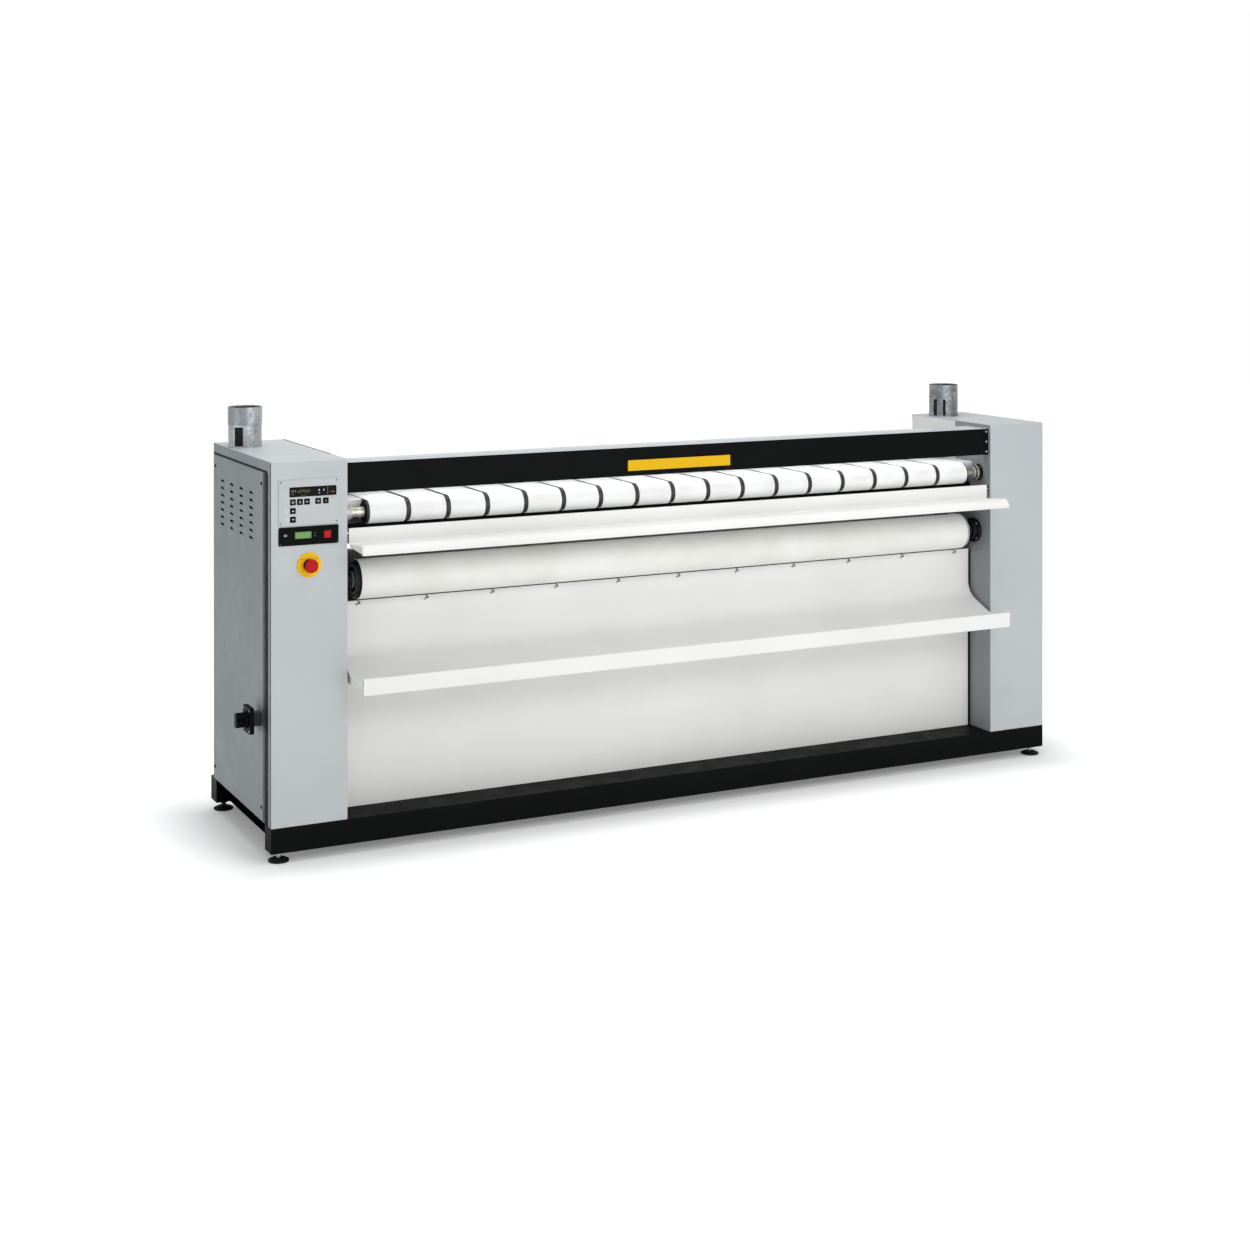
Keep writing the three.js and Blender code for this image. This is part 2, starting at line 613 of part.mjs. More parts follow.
function buildLeftCabinet() {
  const plateTop = CABINET_TOP - CONTROL_PLATE_DROP;
  const plateBottom = plateTop - CONTROL_PLATE_HEIGHT;
  const modeTop = plateBottom - MODE_PLATE_SPACING;
  const modeBottom = modeTop - MODE_PLATE_HEIGHT;
  const margin = CONTROL_PLATE_THICKNESS * 2.5;
  const plateLeft = CONTROL_PLATE_LEFT + margin;
  const plateRight = LEFT_CABINET_WIDTH - CONTROL_PLATE_RIGHT - margin;
  const openings = [
    box(plateLeft, plateRight, -1, SHEET + 1, plateBottom + margin, plateTop - margin),
    box(plateLeft, plateRight, -1, SHEET + 1, modeBottom + margin, modeTop - margin),
    bar('y', -1, SHEET + 1, STOP_BARREL_RADIUS + GAP, { x: STOP_LEFT, z: CABINET_TOP - STOP_DROP }),
    stackHole(LEFT_STACK),
  ];
  const cover = frontAndTop(0, LEFT_CABINET_WIDTH, LEFT_CABINET_DEPTH);
  add('left_front_cover', carve([cover], openings), GREY_PAINT);

  const wall = innerWall(
    INNER_LEFT - SIDE_PLATE, INNER_LEFT, LEFT_CABINET_DEPTH, INNER_LEFT - SIDE_PLATE - BOSS_LENGTH,
  );
  add('left_inner_wall', wall, WALL_PAINT);

  const rear = LEFT_CABINET_DEPTH - SHEET - GAP;
  const bottom = BASE_TOP + GAP;
  const headerBottom = CABINET_TOP - HEADER_HEIGHT;
  const frame = prism([
    [SHEET + GAP, bottom],
    [SHEET + GAP, CABINET_TOP - SHEET - GAP],
    [rear, CABINET_TOP - SHEET - GAP],
    ...rounded([
      [rear, headerBottom],
      [STILE_DEPTH, headerBottom, SEAL_CORNER_RADIUS],
      [STILE_DEPTH, bottom],
    ]),
  ], 0, SHEET);
  add('left_side_frame', carve([frame]), SIDE_PAINT);

  const panelTop = headerBottom - SEAL_LINE;
  const panelFront = STILE_DEPTH + SEAL_BAND;
  const seal = prism([
    ...rounded([
      [STILE_DEPTH + GAP, bottom],
      [STILE_DEPTH + GAP, headerBottom - GAP, SEAL_CORNER_RADIUS],
      [rear, headerBottom - GAP],
    ]),
    [rear, panelTop + GAP],
    [panelFront - GAP, panelTop + GAP],
    [panelFront - GAP, bottom],
  ], SEAL_RECESS, SEAL_RECESS + SEAL_THICKNESS);
  add('left_side_seal', carve([seal]), BLACK_RUBBER);
  add('left_side_panel', sidePanel(panelFront, rear, bottom, panelTop), SIDE_PAINT);

  const rearTop = CABINET_TOP - COVER_FLANGE - GAP;
  const rearY = LEFT_CABINET_DEPTH - SHEET;
  const inset = (LEFT_CABINET_WIDTH - VENT_LENGTH) / 2;
  const rearSheet = box(0, LEFT_CABINET_WIDTH, rearY, LEFT_CABINET_DEPTH, bottom, rearTop);
  add('left_rear_cover', carve([rearSheet], ventSlots(
    inset, inset + VENT_LENGTH, rearY, LEFT_CABINET_DEPTH, rearTop - inset,
  )), SIDE_PAINT);
}

/** The louvred panel: a pan of sheet with its flanges turned in, and a hole for the isolator. */
function sidePanel(y0, y1, z0, z1) {
  const hollow = box(
    SHEET, PANEL_FLANGE + 1, y0 + SHEET, y1 - SHEET, z0 + SHEET, z1 - SHEET,
  );
  const cuts = [hollow];
  for (let column = 0; column < LOUVRE_COLUMNS; column += 1) {
    const y = LOUVRE_FRONT + column * LOUVRE_COLUMN_PITCH;
    for (let row = 0; row < LOUVRE_ROWS; row += 1) {
      const z = CABINET_TOP - LOUVRE_TOP_DROP - row * LOUVRE_ROW_PITCH;
      cuts.push(box(
        -1, SHEET + 1, y - LOUVRE_WIDTH / 2, y + LOUVRE_WIDTH / 2, z - LOUVRE_HEIGHT, z,
      ));
    }
  }
  const neck = ISOLATOR_NECK / 2 + GAP;
  const z = BASE_TOP + ISOLATOR_HEIGHT;
  cuts.push(box(-1, SHEET + 1, ISOLATOR_SETBACK - neck, ISOLATOR_SETBACK + neck, z - neck, z + neck));
  return carve([box(0, PANEL_FLANGE, y0, y1, z0, z1)], cuts);
}

function buildRightCabinet() {
  const depth = RIGHT_CABINET_DEPTH;
  const cover = frontAndTop(INNER_RIGHT, MACHINE_WIDTH, depth);
  add('right_front_cover', carve([cover], [stackHole(RIGHT_STACK)]), GREY_PAINT);

  const wallRight = INNER_RIGHT + SIDE_PLATE;
  const linerBack = INNER_RIGHT + LINER_THICKNESS;
  const top = CABINET_TOP - SHEET - GAP;
  const bottom = BASE_TOP + GAP;
  const pocket = box(INNER_RIGHT - 1, linerBack + GAP, LINER_SETBACK, depth + 1, BASE_TOP, CABINET_TOP);
  add('right_inner_wall', innerWall(
    INNER_RIGHT, wallRight, depth, wallRight + BOSS_LENGTH, [pocket],
  ), WALL_PAINT);
  const liner = box(
    INNER_RIGHT, linerBack, LINER_SETBACK + GAP, depth - SHEET - GAP, bottom, top,
  );
  add('right_liner', carve([liner], shaftHoles(INNER_RIGHT, linerBack)), WHITE_PAINT);

  const outer = MACHINE_WIDTH - SHEET;
  const rearTop = CABINET_TOP - COVER_FLANGE - GAP;
  const inset = (RIGHT_CABINET_WIDTH - VENT_LENGTH) / 2;
  add('right_side_cover', carve([
    box(wallRight + GAP, MACHINE_WIDTH, SHEET + GAP, depth, bottom, top),
  ], [
    box(wallRight, outer, 0, depth - SHEET, BASE_TOP, CABINET_TOP),
    box(wallRight, MACHINE_WIDTH + 1, depth - SHEET * 2, depth + 1, rearTop, CABINET_TOP),
    ...ventSlots(
      INNER_RIGHT + inset, INNER_RIGHT + inset + VENT_LENGTH, depth - SHEET, depth, rearTop - inset,
    ),
  ]), SIDE_PAINT);
}

// ---------------------------------------------------------------- exhaust stacks
/** A galvanised spigot through a cabinet's top, slotted at its base, with four foot tabs. */
function stack(spec) {
  const seat = CABINET_TOP + GAP;
  const rim = seat + STACK_HEIGHT + spec.rise;
  const tube = (from, to, inner, outer) => turned(
    [[inner, from], [outer, from], [outer, to], [inner, to], [inner, from]],
    { x: spec.x, y: spec.y, z: 0 }, FINE_ROUND,
  );
  const bore = STACK_RADIUS - STACK_WALL;
  const pieces = [tube(CABINET_TOP - STACK_DEPTH_INSIDE, rim, bore, STACK_RADIUS)];
  if (spec.sleeve) {
    pieces.push(tube(rim - STACK_SLEEVE_HEIGHT, rim, STACK_RADIUS - 0.1, STACK_RADIUS + STACK_WALL));
  }
  for (const turn of [45, 135, 225, 315]) {
    const tab = box(STACK_RADIUS - 0.5, STACK_RADIUS + STACK_TAB, -STACK_TAB / 2, STACK_TAB / 2, 0, SHEET);
    tab.rotateZ(THREE.MathUtils.degToRad(turn));
    pieces.push(tab.translate(spec.x, spec.y, seat));
  }
  const slots = spec.slots.map(({ turn, width }) => {
    const slot = box(bore / 2, STACK_RADIUS + STACK_WALL * 2, -width / 2, width / 2, 3, STACK_SLOT_HEIGHT);
    slot.rotateZ(THREE.MathUtils.degToRad(turn));
    return slot.translate(spec.x, spec.y, seat);
  });
  return carve(pieces, slots);
}

// ---------------------------------------------------------------- covers, shelf and tray
function trayCorners() {
  const wallBottom = TRAY_TOP - TRAY_WALL_HEIGHT;
  const slopeEnd = { y: TRAY_SETBACK - TRAY_SLOPE_DEPTH, z: wallBottom - TRAY_SLOPE_FALL };
  const floorEnd = { y: slopeEnd.y - TRAY_FLOOR_DEPTH, z: slopeEnd.z - TRAY_FLOOR_FALL };
  const lipTop = floorEnd.z + TRAY_LIP_RISE;
  const lipFront = floorEnd.y - TRAY_LIP_THICKNESS;
  const wall = [
    [TRAY_SETBACK - SHEET, TRAY_TOP],
    [TRAY_SETBACK, TRAY_TOP - TRAY_TOP_FLANGE],
    [TRAY_SETBACK, wallBottom, TRAY_BEND_RADIUS],
    [slopeEnd.y, slopeEnd.z, TRAY_BEND_RADIUS],
    [floorEnd.y, floorEnd.z, SHEET],
  ];
  const lip = [
    [floorEnd.y, lipTop, SHEET * 1.2],
    [lipFront, lipTop, SHEET * 2],
    [lipFront, lipTop - TRAY_LIP_HEIGHT, SHEET * 2],
    [lipFront + TRAY_LIP_RETURN, lipTop - TRAY_LIP_HEIGHT],
  ];
  return { wall, lip, floorEnd, slopeEnd };
}

/** The delivery tray: one bent sheet with a gusset under each end and tabs to the inner walls. */
function buildTray() {
  const { wall, lip, floorEnd, slopeEnd } = trayCorners();
  const sheet = prism(bentSheet(rounded([...wall, ...lip])), TRAY_LEFT, TRAY_RIGHT);
  const gussetBottom = floorEnd.z - TRAY_FLOOR_FALL;
  const gussetTop = TRAY_TOP - TRAY_WALL_HEIGHT + TRAY_BEND_RADIUS;
  const behind = TRAY_SETBACK + SHEET / 2;
  const under = [
    ...rounded([[TRAY_SETBACK, gussetTop], ...wall.slice(2)]),
    [floorEnd.y + TRAY_LIP_THICKNESS, gussetBottom],
    [slopeEnd.y + TRAY_TOP_FLANGE, gussetBottom],
    [behind, slopeEnd.z + TRAY_FLOOR_FALL * 2],
    [behind, gussetTop],
  ];
  const pieces = [sheet];
  for (const [edge, face, inward] of [
    [TRAY_LEFT, INNER_LEFT + GAP, 1],
    [TRAY_RIGHT, INNER_RIGHT - GAP, -1],
  ]) {
    const inner = edge + SHEET * inward;
    pieces.push(prism(under, Math.min(edge, inner), Math.max(edge, inner)));
    for (const drop of [TRAY_TOP_FLANGE * 2, TRAY_TOP_FLANGE * 4]) {
      pieces.push(box(
        Math.min(face, inner), Math.max(face, inner),
        TRAY_SETBACK + 0.1, TRAY_SETBACK + SHEET, TRAY_TOP - drop - TRAY_TOP_FLANGE, TRAY_TOP - drop,
      ));
    }
  }
  add('delivery_tray', carve(pieces), WHITE_PAINT);
}

/** Spring clips that hold the tray's top edge to a rod behind it, under the ironing belt. */
function buildClipRail() {
  const rod = { y: TRAY_SETBACK + SHEET + GAP + CLIP_ROD_RADIUS, z: TRAY_TOP - CLIP_DROP * 0.7 };
  const over = TRAY_TOP + GAP + CLIP_WIRE;
  const front = TRAY_SETBACK - SHEET - GAP - CLIP_WIRE;
  const hook = bentSheet([
    [rod.y + CLIP_WIRE / 2, rod.z],
    [rod.y + CLIP_WIRE / 2, over],
    [front, over],
    [front, TRAY_TOP - CLIP_DROP],
  ], CLIP_WIRE);
  const pitch = (TRAY_RIGHT - TRAY_LEFT - 2 * CLIP_INSET) / (CLIP_COUNT - 1);
  const pieces = [bar('x', TRAY_LEFT, TRAY_RIGHT, CLIP_ROD_RADIUS, rod, FOOT_ROUND)];
  for (let index = 0; index < CLIP_COUNT; index += 1) {
    const x = TRAY_LEFT + CLIP_INSET + index * pitch;
    pieces.push(prism(hook, x - CLIP_WIDTH / 2, x + CLIP_WIDTH / 2));
  }
  add('clip_rail', carve(pieces), STEEL);
}

function buildShelf() {
  const nose = SHELF_TOP - SHELF_PLATE_HEIGHT + SHELF_RISE;
  const lipBottom = nose - SHELF_LIP_HEIGHT;
  const sheet = prism(bentSheet(rounded([
    [SHELF_SETBACK, SHELF_TOP],
    [SHELF_SETBACK, SHELF_TOP - SHELF_PLATE_HEIGHT, SHEET],
    [-SHELF_REACH, nose, SHELF_NOSE_RADIUS],
    [-SHELF_REACH, lipBottom, SHEET],
    [-SHELF_REACH + SHELF_LIP_RETURN, lipBottom],
  ])), INNER_LEFT + SHELF_END_GAP, INNER_RIGHT - SHELF_END_GAP);
  const tabs = [
    [INNER_LEFT + GAP, INNER_LEFT + SHELF_END_GAP + 1],
    [INNER_RIGHT - SHELF_END_GAP - 1, INNER_RIGHT - GAP],
  ].map(([x0, x1]) => box(
    x0, x1,
    SHELF_SETBACK + 0.1, SHELF_SETBACK + SHEET * 2,
    SHELF_TOP - SHELF_RISE * 1.5, SHELF_TOP - SHEET * 2,
  ));
  add('feed_shelf', carve([sheet, ...tabs]), WHITE_PAINT);
}

function buildCovers() {
  const x0 = INNER_LEFT + GAP;
  const x1 = INNER_RIGHT - GAP;
  add('fascia', carve([prism(bentSheet([
    [FASCIA_SETBACK, FASCIA_TOP],
    [FASCIA_SETBACK, FASCIA_BOTTOM],
    [FASCIA_SETBACK + FASCIA_RETURN, FASCIA_BOTTOM],
  ]), x0, x1)]), BLACK_PAINT);

  const rear = RIGHT_CABINET_DEPTH;
  const hoodFront = FASCIA_SETBACK + SHEET + GAP;
  const hoodRear = UPPER_REAR_AXIS.z + UPPER_REAR_ROLLER_RADIUS + BELT_BUILD + HOOD_CLEARANCE;
  add('hood', carve([prism(bentSheet([
    [rear, hoodRear - COVER_FLANGE],
    [rear, hoodRear],
    [FASCIA_SETBACK + HOOD_FLAT_DEPTH, FASCIA_TOP],
    [hoodFront, FASCIA_TOP],
    [hoodFront, FASCIA_TOP - HOOD_FLANGE],
  ]), x0, x1)]), GREY_PAINT);

  const bottom = BASE_TOP + GAP;
  const rearTop = hoodRear - COVER_FLANGE - GAP;
  const vents = [0.2, 0.5, 0.8].flatMap((share) => {
    const middle = x0 + (x1 - x0) * share;
    return ventSlots(
      middle - VENT_LENGTH, middle + VENT_LENGTH, rear - SHEET, rear, rearTop - VENT_PITCH * 2,
    );
  });
  add('rear_cover', carve([
    box(x0, x1, rear - SHEET, rear, bottom, rearTop),
    box(x0, x1, rear - COVER_FLANGE, rear, bottom, bottom + SHEET),
  ], vents), SIDE_PAINT);

  const y0 = TRAY_SETBACK + SHEET + GAP;
  const top = TRAY_TOP - TRAY_WALL_HEIGHT + TRAY_BEND_RADIUS;
  add('lower_front_panel', carve(
    [box(TRAY_LEFT, TRAY_RIGHT, y0, y0 + COVER_FLANGE / 2, bottom, top)],
    [box(
      TRAY_LEFT + SHEET, TRAY_RIGHT - SHEET,
      y0 + SHEET, y0 + COVER_FLANGE, bottom + SHEET, top - SHEET,
    )],
  ), WHITE_PAINT);
}

// ---------------------------------------------------------------- controls
/** A square block that reads as a key: a cap through its plate and a flange behind it. */
function key(name, x, z, size, material) {
  const back = -GAP;
  const half = size / 2;
  const front = back - CONTROL_PLATE_THICKNESS - KEY_PROUD;
  const edge = half + KEY_FLANGE_EDGE;
  const cap = box(-half, half, front, back + GAP * 2, -half, half);
  const flange = box(-edge, edge, back + GAP, back + GAP + KEY_FLANGE, -edge, edge);
  add(name, carve([cap, flange]), material).position.set(x, 0, z);
}

/** An applied plate on the cabinet's front with a rectangular window for each given piece. */
function controlPlate(name, z0, z1, windows, material) {
  const back = -GAP;
  const front = back - CONTROL_PLATE_THICKNESS;
  const cuts = windows.map(({ x, z, width, height }) => box(
    x - width / 2 - GAP, x + width / 2 + GAP, front - 1, back + 1,
    z - height / 2 - GAP, z + height / 2 + GAP,
  ));
  const sheet = box(CONTROL_PLATE_LEFT, LEFT_CABINET_WIDTH - CONTROL_PLATE_RIGHT, front, back, z0, z1);
  add(name, carve([sheet], cuts), material);
}

/** A flush window in its plate's cut-out. */
function glass(name, { x, z, width, height }, material) {
  const front = -GAP - CONTROL_PLATE_THICKNESS - GAP;
  const pane = box(-width / 2, width / 2, front, -GAP, -height / 2, height / 2);
  add(name, carve([pane]), material).position.set(x, 0, z);
}

function buildControls() {
  const left = CONTROL_PLATE_LEFT;
  const right = LEFT_CABINET_WIDTH - CONTROL_PLATE_RIGHT;
  const top = CABINET_TOP - CONTROL_PLATE_DROP;
  const displayLeft = left + DISPLAY_LEFT;
  const displayRight = displayLeft + DISPLAY_WIDTH;
  const display = {
    x: (displayLeft + displayRight) / 2,
    z: top - DISPLAY_DROP - DISPLAY_HEIGHT / 2,
    width: DISPLAY_WIDTH,
    height: DISPLAY_HEIGHT,
  };
  const row = top - KEY_ROW_DROP;
  const first = displayLeft + KEY_SIZE * 0.6;
  const last = displayRight - KEY_SIZE * 1.9;
  const pitch = KEY_SIZE * 1.25;
  const keys = {
    key_1: [first, row],
    key_2: [first + pitch, row],
    key_3: [first + pitch * 2, row],
    key_4: [last - pitch * 1.1, row],
    key_5: [last, row],
    key_up: [first, row - KEY_SIDE_PITCH],
    key_down: [first, row - KEY_SIDE_PITCH * 2],
  };
  const keyWindows = Object.values(keys).map(([x, z]) => ({ x, z, width: KEY_SIZE, height: KEY_SIZE }));
  controlPlate('control_plate', top - CONTROL_PLATE_HEIGHT, top, [display, ...keyWindows], SILVER_FOIL);
  glass('display_window', display, BLACK_PLASTIC);
  for (const [name, [x, z]] of Object.entries(keys)) {
    key(name, x, z, KEY_SIZE, BLACK_PLASTIC);
  }

  const modeTop = top - CONTROL_PLATE_HEIGHT - MODE_PLATE_SPACING;
  const lcd = {
    x: left + LCD_LEFT + LCD_WIDTH / 2,
    z: modeTop - LCD_DROP - LCD_HEIGHT / 2,
    width: LCD_WIDTH,
    height: LCD_HEIGHT,
  };
  const red = {
    x: right - RED_KEY_RIGHT,
    z: modeTop - RED_KEY_DROP,
    width: RED_KEY_SIZE,
    height: RED_KEY_SIZE,
  };
  controlPlate('mode_plate', modeTop - MODE_PLATE_HEIGHT, modeTop, [lcd, red], BLACK_PLASTIC);
  glass('lcd_window', lcd, LCD_GLASS);
  key('red_key', red.x, red.z, RED_KEY_SIZE, RED_PLASTIC);
}

/** Emergency stop: a collar and contact block, a stem that is pressed and a head that twists. */
function buildEmergencyStop() {
  const z = CABINET_TOP - STOP_DROP;
  const collarFront = -GAP - STOP_COLLAR_THICKNESS;
  const headBack = collarFront - STOP_HEAD_STANDOFF;
  const blockDepth = STOP_BARREL_RADIUS * 3;
  const stemBack = blockDepth / 2;
  const at = { x: 0, z: 0 };
  const half = STOP_BARREL_RADIUS * 1.4;
  const base = carve([
    bar('y', collarFront, -GAP, STOP_COLLAR_RADIUS, at, FINE_ROUND),
    bar('y', -GAP - 1, blockDepth, STOP_BARREL_RADIUS, at),
    box(-half, half, blockDepth / 3, blockDepth + half, -half, half),
  ], [bar('y', collarFront - 1, stemBack + STOP_TRAVEL + GAP * 2, STOP_STEM_RADIUS + GAP, at)]);
  add('stop_collar', base, YELLOW_PLASTIC).position.set(STOP_LEFT, 0, z);

  const socket = headBack - STOP_HEAD_DEPTH / 2;
  const stem = carve([bar('y', socket + GAP, stemBack, STOP_STEM_RADIUS, at)]);
  add('stop_stem', stem, BLACK_PLASTIC).position.set(STOP_LEFT, 0, z);

  const radius = STOP_HEAD_RADIUS;
  const profile = [
    [0, 0],
    [radius * 0.7, 0],
    [radius * 0.74, STOP_HEAD_DEPTH * 0.35],
    [radius * 0.96, STOP_HEAD_DEPTH * 0.5],
    [radius, STOP_HEAD_DEPTH * 0.72],
    [radius * 0.9, STOP_HEAD_DEPTH * 0.92],
    [radius * 0.6, STOP_HEAD_DEPTH],
    [0, STOP_HEAD_DEPTH],
  ];
  const head = turned(profile, { x: 0, y: 0, z: 0 }).rotateX(Math.PI / 2).translate(0, headBack, 0);
  const bore = bar('y', socket, headBack + 1, STOP_STEM_RADIUS + GAP, at);
  add('stop_head', carve([head], [bore]), RED_PLASTIC).position.set(STOP_LEFT, 0, z);
}

function buildIsolator() {
  const at = { y: 0, z: 0 };
  const neck = ISOLATOR_NECK / 2;
  const plate = ISOLATOR_PLATE / 2;
  const body = ISOLATOR_BODY / 2;
  const plateBack = -ISOLATOR_NECK_LENGTH;
  const plateFront = plateBack - ISOLATOR_PLATE_THICKNESS;
  const bodyFront = SHEET + GAP;
  const place = [0, ISOLATOR_SETBACK, BASE_TOP + ISOLATOR_HEIGHT];
  add('isolator_switch', carve([
    box(bodyFront, bodyFront + ISOLATOR_BODY_DEPTH, -body, body, -body, body),
    box(plateBack - 1, bodyFront + 1, -neck, neck, -neck, neck),
    box(plateFront, plateBack, -plate, plate, -plate, plate),
  ]), BLACK_PLASTIC).position.set(...place);

  const back = plateFront - GAP;
  const front = back - KNOB_LENGTH;
  const grip = KNOB_GRIP_LENGTH / 2;
  const lobe = grip - KNOB_LOBE_RADIUS;
  add('isolator_knob', carve([
    bar('x', back - KNOB_BASE_THICKNESS, back, KNOB_BASE_RADIUS, at),
    box(front, back - 1, -KNOB_GRIP_WIDTH / 2, KNOB_GRIP_WIDTH / 2, -grip, grip),
    bar('x', front, back - 1, KNOB_LOBE_RADIUS, { y: 0, z: lobe }, 24),
    bar('x', front, back - 1, KNOB_LOBE_RADIUS, { y: 0, z: -lobe }, 24),
  ]), BLACK_PLASTIC).position.set(...place);
}

// ---------------------------------------------------------------- rollers, belts and bearings
/** A roller on its shaft, with any collars and end rings, placed on its axis. */
function roller(name, axis, bars, material, bores = []) {
  const about = { y: 0, z: 0 };
  const make = ({ from, to, radius }) => bar('x', from, to, radius, about);
  add(name, carve(bars.map(make), bores.map(make)), material).position.set(0, axis.y, axis.z);
}

/** A flanged bearing on an inner wall; `inward` is 1 on the left wall and -1 on the right. */
function flangedBearing(name, axis, face, inward, spec) {
  const about = { y: 0, z: 0 };
  const seat = face + GAP * inward;
  const reach = (width) => [seat, seat + width * inward].sort((a, b) => a - b);
  const [x0, x1] = reach(spec.width);
  const pieces = [
    bar('x', ...reach(spec.flangeWidth), spec.flange, about),
    bar('x', x0, x1, spec.hub, about),
  ];
  const bore = bar('x', x0 - 1, x1 + 1, FEED_SHAFT_RADIUS + RUNNING_CLEARANCE, about);
  add(name, carve(pieces, [bore]), BLACK_PAINT).position.set(0, axis.y, axis.z);
}

function buildRollers() {
  const wallLeft = INNER_LEFT - SIDE_PLATE;
  const wallRight = INNER_RIGHT + SIDE_PLATE;
  const exitRight = INNER_RIGHT - EXIT_ROLLER_INSET_RIGHT;
  const shaft = (radius) => ({
    from: wallLeft - BOSS_LENGTH - SHAFT_END, to: wallRight + BOSS_LENGTH + SHAFT_END, radius,
  });
  const feedCollar = INNER_LEFT + FEED_BEARING.width + GAP * 2;
  const feedRing = INNER_RIGHT - FEED_BEARING.width - GAP * 2;
  roller('feed_roller', FEED_AXIS, [
    shaft(FEED_SHAFT_RADIUS),
    { from: ROLLER_LEFT, to: ROLLER_RIGHT, radius: FEED_ROLLER_RADIUS },
    { from: feedCollar, to: feedCollar + COLLAR_WIDTH, radius: COLLAR_RADIUS },
    { from: feedRing - COLLAR_WIDTH, to: feedRing, radius: COLLAR_RADIUS + SHEET * 3 },
  ], BLACK_PAINT);
  roller('tail_roller', TAIL_AXIS, [
    shaft(REAR_SHAFT_RADIUS),
    { from: ROLLER_LEFT, to: ROLLER_RIGHT, radius: TAIL_ROLLER_RADIUS },
  ], STEEL);
  roller('exit_roller', EXIT_AXIS, [
    shaft(FEED_SHAFT_RADIUS),
    { from: ROLLER_LEFT, to: exitRight, radius: EXIT_ROLLER_RADIUS },
    { from: ROLLER_LEFT - COLLAR_WIDTH, to: ROLLER_LEFT, radius: EXIT_ROLLER_RADIUS - BELT_BUILD * 3 },
    { from: exitRight, to: exitRight + COLLAR_WIDTH, radius: EXIT_ROLLER_RADIUS - BELT_BUILD },
  ], BLACK_PAINT);
  for (const [name, axis, radius] of [
    ['upper_rear_roller', UPPER_REAR_AXIS, UPPER_REAR_ROLLER_RADIUS],
    ['lower_rear_roller', LOWER_REAR_AXIS, LOWER_REAR_ROLLER_RADIUS],
  ]) {
    roller(name, axis, [shaft(REAR_SHAFT_RADIUS), { from: ROLLER_LEFT, to: exitRight, radius }], STEEL);
  }
  flangedBearing('feed_bearing_left', FEED_AXIS, INNER_LEFT, 1, FEED_BEARING);
  flangedBearing('feed_bearing_right', FEED_AXIS, INNER_RIGHT, -1, FEED_BEARING);
  flangedBearing('exit_bearing_left', EXIT_AXIS, INNER_LEFT, 1, EXIT_BEARING);
  flangedBearing('exit_bearing_right', EXIT_AXIS, INNER_RIGHT, -1, EXIT_BEARING);
}

/** Narrow feed belts side by side, linked by a thin strip under their lower runs at the back. */
function buildFeedBelts() {
  const room = ROLLER_RIGHT - ROLLER_LEFT - 2 * FEED_BELT_MARGIN + FEED_BELT_SPACING;
  const pitch = FEED_BELT_WIDTH + FEED_BELT_SPACING;
  const count = Math.max(1, Math.floor(room / pitch));
  const span = count * pitch - FEED_BELT_SPACING;
  const start = (ROLLER_LEFT + ROLLER_RIGHT - span) / 2;
  const stops = [
    stopAt(FEED_AXIS, FEED_ROLLER_RADIUS + BELT_CLEARANCE),
    stopAt(TAIL_AXIS, TAIL_ROLLER_RADIUS + BELT_CLEARANCE),
  ];
  const belts = [];
  for (let index = 0; index < count; index += 1) {
    const x = start + index * pitch;
    belts.push(belt(stops, BELT_THICKNESS, x, x + FEED_BELT_WIDTH));
  }
  const low = TAIL_AXIS.z - stops[1].radius;
  const link = box(
    start, start + span, TAIL_AXIS.y - BELT_THICKNESS, TAIL_AXIS.y + BELT_THICKNESS * 2,
    low - BELT_THICKNESS, low - BELT_THICKNESS / 2,
  );
  add('feed_belts', carve([...belts, link]), WHITE_FELT);
}

/** The full-width ironing belt: round three rollers, and wrapped round the cylinder's back. */
function buildIroningBelt() {
  const stops = [
    stopAt(EXIT_AXIS, EXIT_ROLLER_RADIUS + BELT_CLEARANCE),
    stopAt(LOWER_REAR_AXIS, LOWER_REAR_ROLLER_RADIUS + BELT_CLEARANCE),
    stopAt(UPPER_REAR_AXIS, UPPER_REAR_ROLLER_RADIUS + BELT_CLEARANCE),
    stopAt(CYLINDER_AXIS, CYLINDER_RADIUS + BELT_CLEARANCE + BELT_THICKNESS, -1),
  ];
  const exitRight = INNER_RIGHT - EXIT_ROLLER_INSET_RIGHT;
  add('ironing_belt', carve([
    belt(stops, BELT_THICKNESS, ROLLER_LEFT + BELT_BUILD, exitRight - BELT_BUILD),
  ]), BELT_CLOTH);
}

// ---------------------------------------------------------------- cylinder, drive and burner
/** The outline of a toothed wheel about the origin. */
function toothed(radius, teeth) {
  const outline = [];
  const step = (Math.PI * 2) / teeth;
  for (let tooth = 0; tooth < teeth; tooth += 1) {
    for (const [share, depth] of [[0, TOOTH_DEPTH], [0.35, TOOTH_DEPTH], [0.55, 0], [0.8, 0]]) {
      const angle = (tooth + share) * step;
      outline.push([(radius - depth) * Math.cos(angle), (radius - depth) * Math.sin(angle)]);
    }
  }
  return outline;
}

function journalEnd() {
  return SPROCKET_X - SPROCKET_WIDTH / 2 - JOURNAL_BEYOND_SPROCKET;
}

